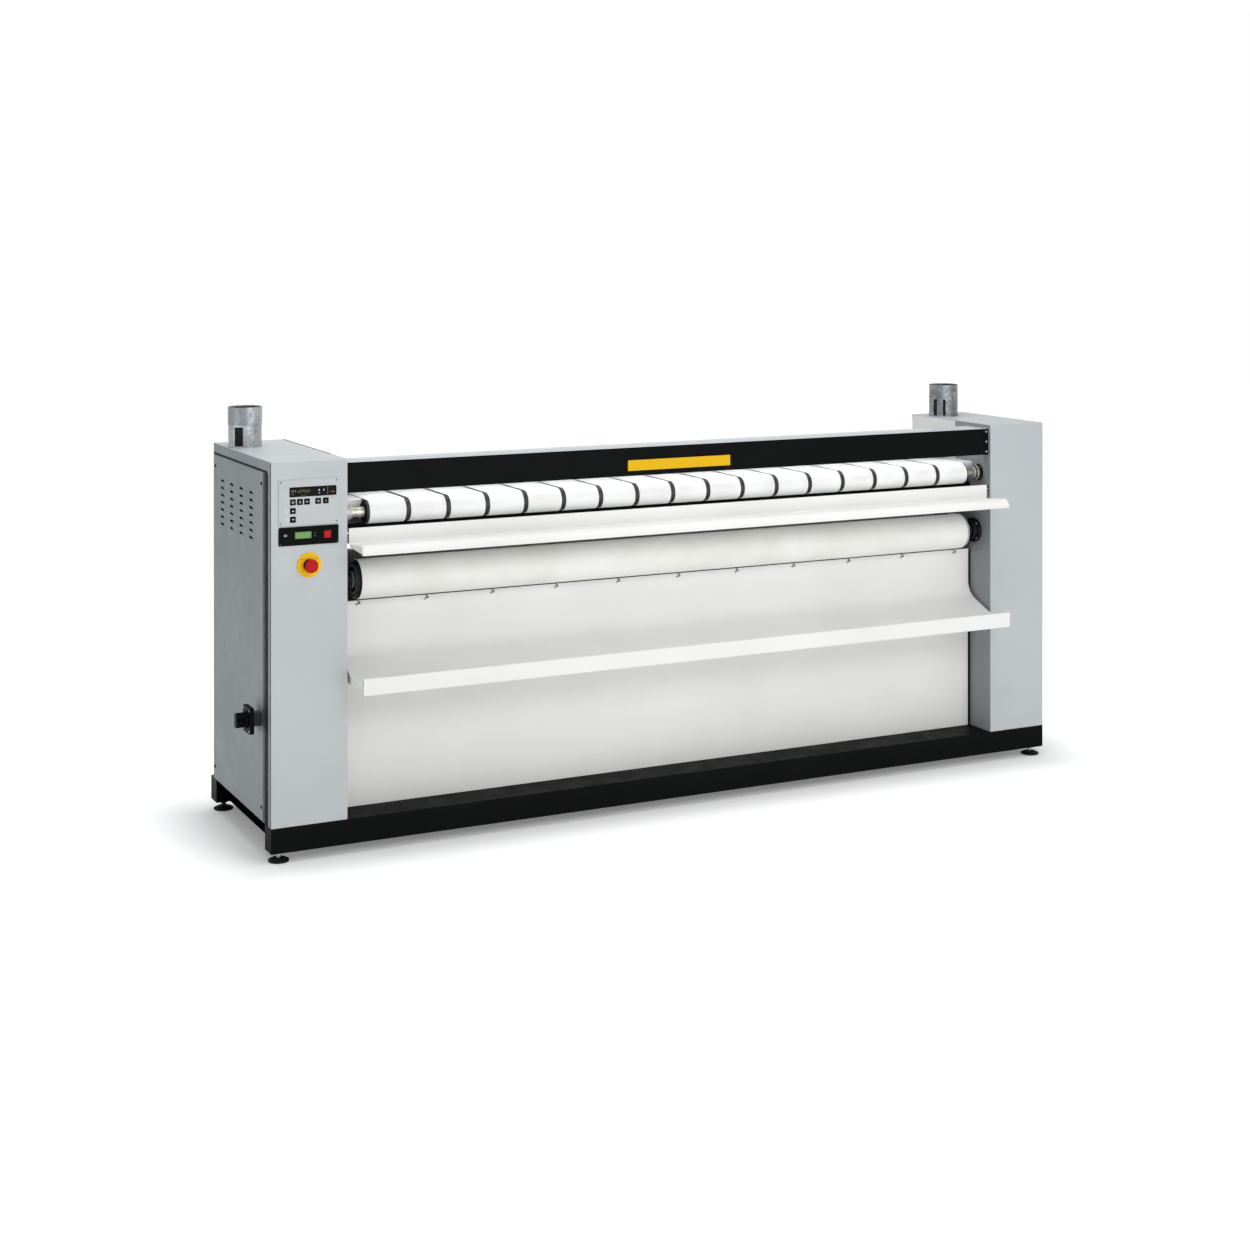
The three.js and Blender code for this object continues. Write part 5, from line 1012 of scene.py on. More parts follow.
FEED_BELTS_END = FEED_BELT_START + (FEED_BELTS - 1) * FEED_BELT_PITCH + FEED_BELT_WIDTH
SLEEVE_LEFT, SLEEVE_RIGHT = FEED_BELT_START - 0.008, FEED_BELTS_END + 0.007
barrel("feed_roller_sleeve", FEED_AXIS, "feed_roller", SLEEVE_LEFT, SLEEVE_RIGHT, FEED_RADIUS,
       ROLLER_RUBBER, 96)
shaft("feed_roller", FEED_AXIS, stepped(0.0153, 0.0235))
rings("feed_roller_collars", FEED_AXIS, "feed_roller", PALE_STEEL,
      (INNER_LEFT + 0.0146, INNER_LEFT + 0.0300, 0.0148, 0.0215, 0.0012),
      (INNER_RIGHT - 0.0212, INNER_RIGHT - 0.0146, 0.0148, 0.0274, 0.0012),
      (INNER_RIGHT - 0.0300, INNER_RIGHT - 0.0226, 0.0148, 0.0215, 0.0012))
rings("feed_roller_end_faces", FEED_AXIS, "feed_roller", SEAL_RUBBER,
      (SLEEVE_LEFT - 0.0015, SLEEVE_LEFT + 0.001, 0.0150, FEED_RADIUS - 0.003),
      (SLEEVE_RIGHT - 0.001, SLEEVE_RIGHT + 0.0015, 0.0150, FEED_RADIUS - 0.003),
      (INNER_RIGHT - 0.0225, INNER_RIGHT - 0.0213, 0.0148, 0.0240, 0.0004))
for label, axis, right_end, radius in (
        ("tail_roller", TAIL_AXIS, ROLLER_RIGHT, TAIL_RADIUS),
        ("upper_rear_roller", UPPER_REAR_AXIS, EXIT_RIGHT, UPPER_REAR_RADIUS),
        ("lower_rear_roller", LOWER_REAR_AXIS, EXIT_RIGHT, LOWER_REAR_RADIUS)):
    barrel(label + "_barrel", axis, label, ROLLER_LEFT, right_end, radius, SHAFT_STEEL)
    shaft(label, axis, [(*SHAFT_ENDS, REAR_SHAFT - 0.0002)])

barrel("exit_roller_barrel", EXIT_AXIS, "exit_roller", ROLLER_LEFT, EXIT_RIGHT, EXIT_RADIUS,
       ROLLER_RUBBER, 96)
shaft("exit_roller", EXIT_AXIS, stepped(0.0175, 0.0245), BLACK_IRON)
for part, material, end, start, stop, *sizes in (
        ("hub_left", BLACK_IRON, ROLLER_LEFT, -0.0088, 0.002, 0.017, EXIT_RADIUS - 0.006, 0.0015),
        ("hub_right", BLACK_IRON, EXIT_RIGHT, -0.002, 0.0088, 0.017, EXIT_RADIUS - 0.002, 0.0015),
        ("ring_left", CAST_GREY, ROLLER_LEFT, -0.0104, -0.0060, 0.0365, 0.0445),
        ("collar_left", CAST_GREY, ROLLER_LEFT, -0.0160, -0.0080, 0.0178, 0.0250, 0.0012),
        ("ring_right", PALE_STEEL, EXIT_RIGHT, 0.0006, 0.0070, EXIT_RADIUS - 0.0030, EXIT_RADIUS - 0.0004)):
    rings("exit_roller_" + part, EXIT_AXIS, "exit_roller", material, (end + start, end + stop, *sizes))


def bearing(node, axis, face, inward, flange, flange_width, hub, width, head):
    """A flanged cast housing with four screws, a steel inner ring and a rubber seal in its bore."""
    seat = face + GAP * inward

    def at(depth):
        return seat + depth * inward

    outline = fillet([
        (SHAFT + 0.0045, at(0)), (flange, at(0), 0.0008), (flange, at(flange_width), 0.002),
        (hub, at(flange_width), 0.001), (hub, at(width), 0.0015), (SHAFT + 0.0045, at(width), 0.0008)],
        True, 30)
    piece(node + "_housing", turned(outline, on(axis), closed=True), BLACK_IRON, "frame", (node,))
    for part, material, start, end, inner, outer in (
            ("_seal", SEAL_RUBBER, 0.001, width - 0.0015, 0.0018, 0.0047),
            ("_ring", ZINC, 0.0005, width - 0.0006, 0.0001, 0.0019)):
        rings(node + part, axis, "frame", material,
              (*sorted((at(start), at(end))), SHAFT + inner, SHAFT + outer, 0.0004))
    middle = (flange + hub) / 2
    screws(node + "_screws", [
        (at(flange_width), axis[0] + middle * math.cos(turn), axis[1] + middle * math.sin(turn))
        for turn in np.radians([45, 135, 225, 315])], "x", inward, head, ZINC)


for kind, axis, *sizes in (
        ("feed", FEED_AXIS, 0.028, 0.006, 0.022, 0.014, 0.0022),
        ("exit", EXIT_AXIS, 0.041, 0.011, 0.030, 0.024, 0.0035)):
    for side, face, inward in (("left", INNER_LEFT, 1), ("right", INNER_RIGHT, -1)):
        bearing(f"{kind}_bearing_{side}", axis, face, inward, *sizes)

FEED_BELT_TRIM = 0.0017  # the photo's gaps are this much wider on either side than the CAD's
feed_stops = [(*FEED_AXIS, FEED_RADIUS + BELT_CLEARANCE, 1), (*TAIL_AXIS, TAIL_RADIUS + BELT_CLEARANCE, 1)]
for number in range(FEED_BELTS):
    start = FEED_BELT_START + number * FEED_BELT_PITCH
    x0 = start + (FEED_BELT_TRIM if number > 0 else 0.0)
    x1 = start + FEED_BELT_WIDTH - (FEED_BELT_TRIM if number < FEED_BELTS - 1 else 0.0)
    felt, cloth = endless(feed_stops, x0, x1, BELT)
    piece(f"feed_belt_{number + 1}", felt, FELT, "frame", ("feed_belts",) if number == 0 else (), 60,
          metres_of_cloth=cloth)
# A black sheet hangs between the lower run of the feed belts and the way out for the linen: painted shade for
# the dark gap under the belts.
piece("feed_shade_baffle", folded([(-0.148, 0.927), (-0.148, 0.870)], INNER_LEFT + GAP, INNER_RIGHT - GAP),
      BLACK_COAT, edge=0.0004)
# A white guide at each end fills the space between the wall and the first belt's edge, behind the
# feed roller's shaft: an upright and a top that stops short of the tail roller.
guide = fillet([(-0.160, 0.976), (-0.160, 1.000, 0.003), (-0.052, 1.000)])[::-1]
piece("feed_side_guides", joined(
    folded(guide, INNER_LEFT + GAP, FEED_BELT_START - 0.0024),
    folded(guide, FEED_BELTS_END + 0.0024, INNER_RIGHT - GAP)), WHITE_COAT, edge=0.0004)
iron_stops = [
    (*EXIT_AXIS, EXIT_RADIUS + BELT_CLEARANCE, 1), (*LOWER_REAR_AXIS, LOWER_REAR_RADIUS + BELT_CLEARANCE, 1),
    (*UPPER_REAR_AXIS, UPPER_REAR_RADIUS + BELT_CLEARANCE, 1),
    (*CYLINDER_AXIS, CYLINDER_RADIUS + BELT_CLEARANCE + BELT, -1)]
belt_cloth, cloth = endless(iron_stops, ROLLER_LEFT + 0.002, EXIT_RIGHT - 0.002, BELT)
piece("ironing_belt_cloth", belt_cloth, ARAMID, "frame", ("ironing_belt",), 60, metres_of_cloth=cloth)


# ---------------------------------------------------------------- cylinder and drive
SPROCKET_X, SPROCKET_HALF = WALL_LEFT - 0.070, 0.004
DRUM_LEFT, DRUM_RIGHT, DRUM_END, DRUM_BORE = INNER_LEFT + 0.038, INNER_RIGHT - 0.038, 0.010, 0.119
JOURNAL_LEFT, JOURNAL_RIGHT = SPROCKET_X - SPROCKET_HALF - 0.022, INNER_RIGHT + 0.031
JOURNAL, JOURNAL_BORE = 0.035, 0.026


def sprocket(teeth, radius, bore, axis, body):
    """A chain wheel: its rim falls and rises as a rounded wave, r = R - 3 mm * (1 - cos(n * turn)) ^ 0.8."""
    turn = np.linspace(0, 2 * np.pi, teeth * 12, endpoint=False)
    rim = radius - 0.003 * (1 - np.cos(teeth * turn)) ** 0.8
    hole = round_hole(*axis, bore, 64)
    face = plate(arc(*axis, rim, turn), 2 * SPROCKET_HALF, facing("x", SPROCKET_X - SPROCKET_HALF), (hole,))
    return piece(body + "_wheel", face, ZINC, body, edge=0.0008)


piece("heated_cylinder_drum", turned(fillet([
    (JOURNAL_BORE, JOURNAL_LEFT, 0.001), (JOURNAL, JOURNAL_LEFT, 0.001), (JOURNAL, DRUM_LEFT, 0.002),
    (CYLINDER_RADIUS, DRUM_LEFT, 0.003), (CYLINDER_RADIUS, DRUM_RIGHT, 0.003), (JOURNAL, DRUM_RIGHT, 0.002),
    (JOURNAL, JOURNAL_RIGHT, 0.001), (JOURNAL_BORE, JOURNAL_RIGHT, 0.001),
    (JOURNAL_BORE, DRUM_RIGHT - DRUM_END, 0.0005), (DRUM_BORE, DRUM_RIGHT - DRUM_END),
    (DRUM_BORE, DRUM_LEFT + DRUM_END), (JOURNAL_BORE, DRUM_LEFT + DRUM_END, 0.0005)], True, 18),
    on(CYLINDER_AXIS), segments=128, closed=True), DRUM_CHROME, "heated_cylinder", ("heated_cylinder",))
sprocket(24, 0.080, 0.0348, CYLINDER_AXIS, "heated_cylinder")
sprocket(9, 0.030, 0.0118, MOTOR_AXIS, "motor_sprocket")
piece("motor_output_shaft", rod("x", SPROCKET_X - 0.008, WALL_LEFT - 0.0203, 0.012, on(MOTOR_AXIS)),
      SHAFT_STEEL, "motor_sprocket", ("motor_sprocket",))


def roller_chain(pitch=0.0127, link=0.0008):
    """A roller chain round both wheels: at each pitch a roller, and every other pair joined by an
    outer link plate, the rest by an inner one. A link plate is an ellipse round its two rollers."""
    stops = [(*MOTOR_AXIS, 0.0306, 1), (*CYLINDER_AXIS, 0.0806, 1)]
    line = np.concatenate(belt_line(stops, 0.0035, 440))
    path = np.vstack([line, line[:1]])
    station = np.concatenate([[0], np.linalg.norm(np.diff(path, axis=0), axis=1).cumsum()])
    count = int(round(station[-1] / pitch / 2)) * 2
    at = np.linspace(0, station[-1], count, endpoint=False)
    pins = np.stack([np.interp(at, station, path[:, 0]), np.interp(at, station, path[:, 1])], axis=-1)
    turn = np.linspace(0, 2 * np.pi, 12, endpoint=False)
    parts = []
    for number, pin in enumerate(pins):
        parts.append(rod("x", SPROCKET_X - 0.0038, SPROCKET_X + 0.0038, 0.0024, (0, *pin), 0.0004, 8))
        far = pins[(number + 1) % count]
        middle, way = (pin + far) / 2, far - pin
        half = np.linalg.norm(way) / 2 + 0.0026
        way = way / np.linalg.norm(way)
        a, b = half * np.cos(turn), 0.0031 * np.sin(turn)
        outline = middle + a[:, None] * way + b[:, None] * np.array([-way[1], way[0]])
        offset = 0.0036 if number % 2 else 0.0026
        for side in (-1, 1):
            parts.append(plate(outline, link, facing("x", SPROCKET_X + side * offset - link / 2)))
    piece("drive_chain_links", joined(*parts), ZINC, "frame", ("drive_chain",))


roller_chain()


# ---------------------------------------------------------------- control panel
PLATE_LOW, PLATE_HIGH = span("control_plate")
MODE_LOW, MODE_HIGH = span("mode_plate")
DISPLAY_LOW, DISPLAY_HIGH = span("display_window")
LCD_LOW, LCD_HIGH = span("lcd_window")
PLATE_Y, MODE_Y = PLATE_LOW[1], MODE_LOW[1]
PRINT = 0.0001  # how far a print stands off its plate
KEY_INSET = 0.0015  # a key's cap is this much smaller than the flange behind the plate
KEY_FLANGE = 0.0012
KEYS = ("key_1", "key_2", "key_3", "key_4", "key_5", "key_up", "key_down")


def front_plate(node, material, radius, windows, keys):
    """A plate on the front, with an opening 0.25 mm wider all round than each window and key cap."""
    low, high = span(node)
    holes = []
    for part in (*windows, *keys):
        a, b = span(part)
        middle, size = (a + b) / 2, b - a - 2 * (KEY_INSET if part in keys else 0.0)
        holes.append(slot_hole(middle[0], middle[2], size[0] + 0.0005, size[2] + 0.0005, 0.0016))
    face = plate(rectangle(low[0], low[2], high[0], high[2], radius), high[1] - low[1],
                 facing("y", low[1]), holes)
    return piece(node + "_finished", face, material, "frame", (node,), edge=0.0004)


front_plate("control_plate", SILVER_FILM, 0.005, ("display_window",), KEYS)
front_plate("mode_plate", NYLON, 0.004, ("lcd_window",), ("red_key",))
for node, material in (("display_window", SMOKED_LENS), ("lcd_window", LCD_GREEN)):
    piece(node + "_lens", block(*span(node), 0.0006), material, "frame", (node,))
for node in (*KEYS, "red_key"):
    low, high = span(node)
    step = high[1] - KEY_FLANGE
    cap = block((low[0] + KEY_INSET, low[1], low[2] + KEY_INSET),
                (high[0] - KEY_INSET, step, high[2] - KEY_INSET), 0.0012, 4)
    flange = block((low[0], step, low[2]), high, 0.0003)
    piece(node + "_cap", joined(cap, flange), RED_ABS if node == "red_key" else NYLON, node, (node,))


def marks(name, shapes, y, material, body="frame", thick=PRINT):
    """Flat printed shapes: each a closed line of (x, z), raised by its thickness off a plate at y."""
    parts = [plate(shape, thick, facing("y", y - thick)) for shape in shapes]
    return piece(name, joined(*parts), material, body)


def bar_mark(x, z, width, height):
    """A printed bar or dot, its corners rounded by 0.3 of its shorter side."""
    return slot_hole(x, z, width, height, min(width, height) * 0.3)


def ring_mark(x, z, radius, width, gap=0.5, turn=1.57):
    """An open ring with a gap, drawn as one outline there and back."""
    angle = np.linspace(turn + gap, turn + 2 * np.pi - gap, 28)
    return np.concatenate([arc(x, z, radius, angle), arc(x, z, radius - width, angle)[::-1]])


def arrow_mark(x, z, size, way):
    """A triangle twice as wide as its size, pointing up where way is 1 and down where it is -1."""
    foot, tip = z - size * 0.5 * way, z + size * 0.6 * way
    return np.array([(x - size, foot), (x + size, foot), (x, tip)])


key_face = span("key_1")[0][1] + 0.00002
place_of = {node: ((span(node)[0] + span(node)[1]) / 2)[[0, 2]] for node in KEYS}
for node, kind, value in (
        ("key_1", "ring", 0.0036), ("key_2", "bars", 3), ("key_3", "bars", 2), ("key_4", "ring", 0.0032),
        ("key_5", "bars", 3), ("key_up", "arrow", 1), ("key_down", "arrow", -1)):
    x, z = place_of[node]
    if kind == "ring":
        shapes = [ring_mark(x, z, value, 0.0009), bar_mark(x, z + value * 0.75, 0.0009, value)]
    elif kind == "bars":
        shapes = [bar_mark(x, z + (k - (value - 1) / 2) * 0.0022, 0.0062 - 0.001 * k, 0.0010)
                  for k in range(value)]
    else:
        shapes = [arrow_mark(x, z, 0.0036, value)]
    marks(node + "_print", shapes, key_face, AMBER_DOT if node == "key_5" else WHITE_INK, node)

# The display shows rows of dim dots, grey and white marks, green dots, a thin divider and two lamps.
DISPLAY_Y = DISPLAY_LOW[1]
left, bottom = DISPLAY_LOW[0], DISPLAY_LOW[2]
width, height = DISPLAY_HIGH[0] - left, DISPLAY_HIGH[2] - bottom


def shown_at(across, up):
    """A place on the display, from its shares of the display's width and height."""
    return left + width * across, bottom + height * up


first_x, first_z = shown_at(0.19, 0.46)
marks("display_dots", [
    bar_mark(first_x + column * 0.0030, first_z + row * 0.0031, 0.0017, 0.0017)
    for column in range(12) for row in range(3) if (column * 5 + row * 3) % 7 < 4], DISPLAY_Y, AMBER_DOT)
marks("display_symbols", [
    ring_mark(*shown_at(0.07, 0.62), 0.0036, 0.0008), bar_mark(*shown_at(0.07, 0.28), 0.0050, 0.0012),
    bar_mark(*shown_at(0.13, 0.62), 0.0012, 0.0056)], DISPLAY_Y, GREY_INK)
marks("display_white_marks", [
    bar_mark(*shown_at(0.63, 0.60), 0.0030, 0.0050), bar_mark(*shown_at(0.63, 0.28), 0.0040, 0.0014),
    bar_mark(*shown_at(0.73, 0.60), 0.0022, 0.0046)], DISPLAY_Y, WHITE_INK)
marks("display_divider", [bar_mark(*shown_at(0.81, 0.5), 0.0006, height * 0.86)], DISPLAY_Y, GREY_INK)
marks("display_green_dots", [
    bar_mark(*shown_at(0.26 + 0.05 * k, 0.17), 0.0018, 0.0018) for k in range(3)], DISPLAY_Y, GREEN_LAMP)


def lamp(name, x, z, y, radius, material):
    """A round indicator lens, domed: r = R * cos(t), height = 0.5 R * sin(t)."""
    turn = np.linspace(0, np.pi / 2, 7)
    dome = np.stack([radius * np.cos(turn), -0.5 * radius * np.sin(turn)], axis=-1)
    profile = np.concatenate([[[0, 0.0008], [radius, 0.0008]], dome])
    return piece(name, turned(profile, (x, y, z), "y", 24), material)


under_display = bottom - 0.0065
lamp("red_indicator", *shown_at(0.88, 0.36), DISPLAY_Y, 0.0019, RED_LAMP)
lamp("orange_indicator", *shown_at(0.935, 0.36), DISPLAY_Y, 0.0019, ORANGE_LAMP)
lamp("panel_red_lamp", DISPLAY_HIGH[0] - width * 0.075, under_display, PLATE_Y, 0.0017, RED_LAMP)
marks("panel_yellow_mark", [bar_mark(DISPLAY_HIGH[0] - width * 0.03, under_display, 0.0032, 0.0026)],
      PLATE_Y, YELLOW_VINYL)


def embossed(name, outline, y, thick, width, material):
    """A raised line along a closed outline: its section is a flat-topped ridge."""
    ahead = np.roll(outline, -1, axis=0) - np.roll(outline, 1, axis=0)
    ahead /= np.linalg.norm(ahead, axis=1)[:, None]
    side = np.stack([-ahead[:, 1], ahead[:, 0]], axis=-1)
    rows = []
    for across, depth in ((-0.5, 0.0002), (-0.28, -thick), (0.28, -thick), (0.5, 0.0002)):
        spot = outline + side * width * across
        rows.append(np.column_stack([spot[:, 0], np.full(len(spot), y + depth), spot[:, 1]]))
    return piece(name, surface(np.stack(rows), wrap_u=True, wrap_v=True), material)


# The film over the panel is embossed along a rounded outline that frames its controls.
embossed("control_plate_emboss", rectangle(
    PLATE_LOW[0] + 0.009, PLATE_LOW[2] + 0.010, PLATE_HIGH[0] - 0.009, PLATE_HIGH[2] - 0.014, 0.009),
    PLATE_Y, 0.00022, 0.0012, SILVER_FILM)
marks("panel_round_marks", [
    ring_mark(place_of[node][0] - 0.017, place_of[node][1] + 0.001, 0.0052, 0.0012, 0.3, 0.0)
    for node in ("key_up", "key_down")], PLATE_Y, WHITE_INK, thick=0.00008)
screws("panel_screws", [
    *[(x, PLATE_Y, z) for z in (PLATE_HIGH[2] - 0.006, PLATE_LOW[2] + 0.006)
      for x in (PLATE_LOW[0] + 0.006, PLATE_HIGH[0] - 0.006)],
    *[(x, PLATE_Y, MODE_LOW[2] + 0.005) for x in (MODE_LOW[0] + 0.005, MODE_HIGH[0] - 0.005)]],
    "y", -1, 0.0020, SPRING_STEEL)

# Mode plate: a lit mark, the LCD's segments and two dim marks.
marks("mode_white_mark", [ring_mark(MODE_LOW[0] + 0.020, MODE_LOW[2] + 0.030, 0.0038, 0.0012)],
      MODE_Y, WHITE_INK)
marks("lcd_segments", [
    bar_mark(LCD_LOW[0] + 0.006 + column * 0.0068, LCD_LOW[2] + 0.006 + row * 0.0070, 0.0044, 0.0028)
    for column in range(6) for row in range(2) if (column + row) % 5 < 4], LCD_LOW[1], LCD_INK, thick=0.00005)
marks("mode_dim_marks", [
    bar_mark(LCD_HIGH[0] + 0.010, MODE_LOW[2] + up, 0.0030, 0.0012) for up in (0.032, 0.024)],
    MODE_Y, GREY_INK)


# ---------------------------------------------------------------- emergency stop and isolator
STOP_AT = (STOP[0], 0.0, STOP[1])
COLLAR_BACK = FRONT_Y - GAP
COLLAR_FRONT = COLLAR_BACK - 0.004
COLLAR_BORE, NECK, NECK_BACK = 0.0084, 0.013, FRONT_Y + 0.0395
piece("stop_collar_disc", turned(fillet([
    (COLLAR_BORE, COLLAR_FRONT, 0.0006), (0.0155, COLLAR_FRONT), (0.0165, COLLAR_FRONT + 0.0012),
    (0.0345, COLLAR_FRONT + 0.0002, 0.0008), (0.0355, COLLAR_FRONT + 0.0016, 0.0008), (0.0355, COLLAR_BACK),
    (NECK, COLLAR_BACK), (NECK, NECK_BACK), (COLLAR_BORE, NECK_BACK)], True), STOP_AT, "y", closed=True),
    YELLOW_ABS, "frame", ("stop_collar",))
CONTACTS = 0.0182
piece("stop_contact_block", block(
    (STOP[0] - CONTACTS, FRONT_Y + 0.024, STOP[1] - CONTACTS),
    (STOP[0] + CONTACTS, span("stop_collar")[1][1], STOP[1] + CONTACTS), 0.001), NYLON)
piece("stop_neck_ring", ring(
    "y", COLLAR_FRONT - 0.0020, COLLAR_FRONT + 0.0010, 0.0086, 0.0172, STOP_AT, 0.0006), NYLON)
marks("stop_turn_marks", [
    arrow_mark(STOP[0] + 0.0283 * math.cos(turn), STOP[1] + 0.0283 * math.sin(turn), 0.0034, 1)
    for turn in np.radians([40, 140, 220, 320])], COLLAR_FRONT + 0.0007, RED_ABS, thick=0.0003)
HEAD_LOW, HEAD_HIGH = span("stop_head")
face, back = HEAD_LOW[1], HEAD_HIGH[1]
piece("stop_stem_rod", rod("y", back - 0.0087, span("stop_stem")[1][1], 0.0079, STOP_AT, 0.0006),
      NYLON, "stop_stem", ("stop_stem",))
piece("stop_head_mushroom", turned(fillet([
    (0, face + 0.0001), (0.0075, face + 0.0002, 0.002), (0.0150, face + 0.0012, 0.006),
    (0.0192, face + 0.0034, 0.004), (0.0198, face + 0.0062, 0.004), (0.0190, back - 0.0085, 0.003),
    (0.0144, back - 0.0060, 0.002), (0.0138, back, 0.0006), (0.0084, back, 0.0004), (0.0084, back - 0.0088),
    (0, back - 0.0088)]), STOP_AT, "y"), RED_ABS, "stop_head", ("stop_head",))

ISO_LOW, ISO_HIGH = span("isolator_switch")
ISO_FACE, ISO_DEPTH = ISO_LOW[0], 0.012
iso_y, iso_z = ISOLATOR


def square(x0, x1, half, radius):
    """A square block round the isolator's centre, from x0 to x1."""
    return block((x0, iso_y - half, iso_z - half), (x1, iso_y + half, iso_z + half), radius)


piece("isolator_switch_body", joined(
    square(OUTER_LEFT + 0.0020, ISO_HIGH[0], 0.028, 0.002),
    square(ISO_FACE + ISO_DEPTH - 0.001, OUTER_LEFT + 0.004, 0.0185, 0.003)),
    DARK_ABS, "frame", ("isolator_switch",))
piece("isolator_face_plate", plate(rectangle(
    iso_y - 0.0375, iso_z - 0.0375, iso_y + 0.0375, iso_z + 0.0375, 0.009), ISO_DEPTH, facing("x", ISO_FACE)),
      NYLON, edge=0.0015)
screws("isolator_plate_screws", [
    (ISO_FACE, iso_y + a * 0.029, iso_z + b * 0.029) for a in (-1, 1) for b in (-1, 1)],
    "x", -1, 0.0026, ZINC)
KNOB_LOW, KNOB_HIGH = span("isolator_knob")
KNOB_BACK = KNOB_HIGH[0]


def grip_outline():
    """The grip seen along its axis: a bar 19 mm wide between two lobes of 12.5 mm radius."""
    lobe = arc(0.0, 0.009, 0.0125, np.radians(np.linspace(-49, 229, 24)))
    return np.concatenate([lobe, -lobe]) + np.array([iso_y, iso_z])


piece("isolator_knob_base", turned(fillet([
    (0, KNOB_BACK - 0.008), (0.0235, KNOB_BACK - 0.008, 0.002), (0.025, KNOB_BACK - 0.003, 0.002),
    (0.025, KNOB_BACK, 0.0005), (0, KNOB_BACK)]), on(ISOLATOR)),
    NYLON, "isolator_knob", ("isolator_knob",))
piece("isolator_knob_grip", plate(grip_outline(), KNOB_BACK - KNOB_LOW[0] - 0.007, facing("x", KNOB_LOW[0])),
      NYLON, "isolator_knob", edge=0.002)


# ---------------------------------------------------------------- base, feet and small parts
for node, (x, y) in zip(("front_left_foot", "rear_left_foot", "front_right_foot", "rear_right_foot"), FEET):
    piece(node + "_pad", turned(fillet([
        (0, 0.0), (0.029, 0.0, 0.001), (0.030, 0.0025, 0.001), (0.0295, 0.0055, 0.001),
        (0.0175, 0.0108, 0.004), (0.0072, 0.011), (0, 0.011)]), (x, y, 0), "z"),
        SEAL_RUBBER, "frame", (node,))
    metal = ZINC if node.startswith("front") else BLACK_IRON
    piece(node + "_stud", rod("z", 0.0105, span(node)[1][2], 0.0069, (x, y, 0), 0.0008), metal)
    hexagon = arc(x, y, 0.0122, np.radians(np.arange(0, 360, 60) + 15))
    nut = plate(hexagon, 0.008, facing("z", 0.0207), (round_hole(x, y, 0.0070, 24),))
    piece(node + "_nut", nut, metal, edge=0.0005)

STRIP_LEFT, STRIP_RIGHT, STRIP_TOP, STRIP_FOOT, VINYL = -0.187, 0.172, 1.0792, 1.0468, 0.0002
piece("yellow_strip", plate(slot_hole(
    (STRIP_LEFT + STRIP_RIGHT) / 2, (STRIP_TOP + STRIP_FOOT) / 2, STRIP_RIGHT - STRIP_LEFT,
    STRIP_TOP - STRIP_FOOT, 0.002), VINYL, facing("y", FASCIA_Y - VINYL)), YELLOW_VINYL)

screws("fascia_screws", [(FASCIA_HIGH[0] - 0.008, FASCIA_Y, z) for z in (1.108, 1.075, 1.042)],
       "y", -1, 0.0034, ZINC)
panel_face = span("left_side_panel")[0][0]
screws("side_panel_fasteners", [
    (panel_face, y, z) for y in (FRONT_Y + 0.094, 0.326) for z in (0.140, 1.062)],
    "x", -1, 0.0048, BLACK_IRON)
places = []
for node, columns, side_inset, foot_inset, top_inset in (
        ("rear_cover", 5, 0.03, 0.024, 0.018), ("left_rear_cover", 2, 0.024, 0.024, 0.024)):
    low, high = span(node)
    places += [(x, high[1], z) for x in np.linspace(low[0] + side_inset, high[0] - side_inset, columns)
               for z in (low[2] + foot_inset, high[2] - top_inset)]
screws("rear_cover_fasteners", places, "y", 1, 0.0035, BLACK_IRON)
screws("shelf_screws", [(x, SHELF_FACE, 0.9165) for x in (INNER_LEFT + 0.0045, INNER_RIGHT - 0.0045)],
       "y", -1, 0.0028, ZINC)
screws("wall_screws", [(INNER_RIGHT, y, z) for y, z in (
    (-0.2203, 0.702), (-0.2203, 0.132), (-0.156, 0.688), (-0.156, 0.122))], "x", -1, 0.0035, ZINC)


# ---------------------------------------------------------------- stage, light and camera
# The photo's camera, worked out from the corners of the two cabinets.
CAMERA_PLACE, CAMERA_HEADING = (-2.9512, -5.7660, 1.7744), -26.53
CAMERA_LENS, CAMERA_SENSOR, CAMERA_SHIFT = 58.02, 36.0, -0.3132
# The lamps: name, place, what each points at, size in metres and power in watts.
MIDDLE = (0.0, 0.0, 0.7)
LAMPS = (
    ("overhead", (-0.4, -0.2, 4.2), MIDDLE, (5.0, 2.6), 90.0),
    ("front", (0.4, -5.0, 3.1), MIDDLE, (4.2, 1.6), 72.0),
    ("low_front", (0.6, -5.4, 0.55), MIDDLE, (4.0, 0.8), 38.0),
    ("floor_front", (0.2, -4.2, 0.20), (0.0, -0.1, 0.2), (4.0, 0.3), 10.0),
    ("low_left", (-4.6, -0.6, 0.35), (-1.31, 0.0, 0.2), (1.4, 0.5), 17.0),
    ("under_hood", (0.04, -0.190, 1.100), (0.04, -0.11, 1.0), (2.18, 0.06), 2.2))


def background_rays(tree):
    """1 for rays that show the background: from the camera, off a gloss or through a clear piece."""
    ray = put(tree, "ShaderNodeLightPath").outputs
    seen = ray["Is Camera Ray"]
    for kind in ("Is Glossy Ray", "Is Transmission Ray"):
        seen = put(tree, "ShaderNodeMath", {0: seen, 1: ray[kind]}, operation="MAXIMUM").outputs["Value"]
    return seen


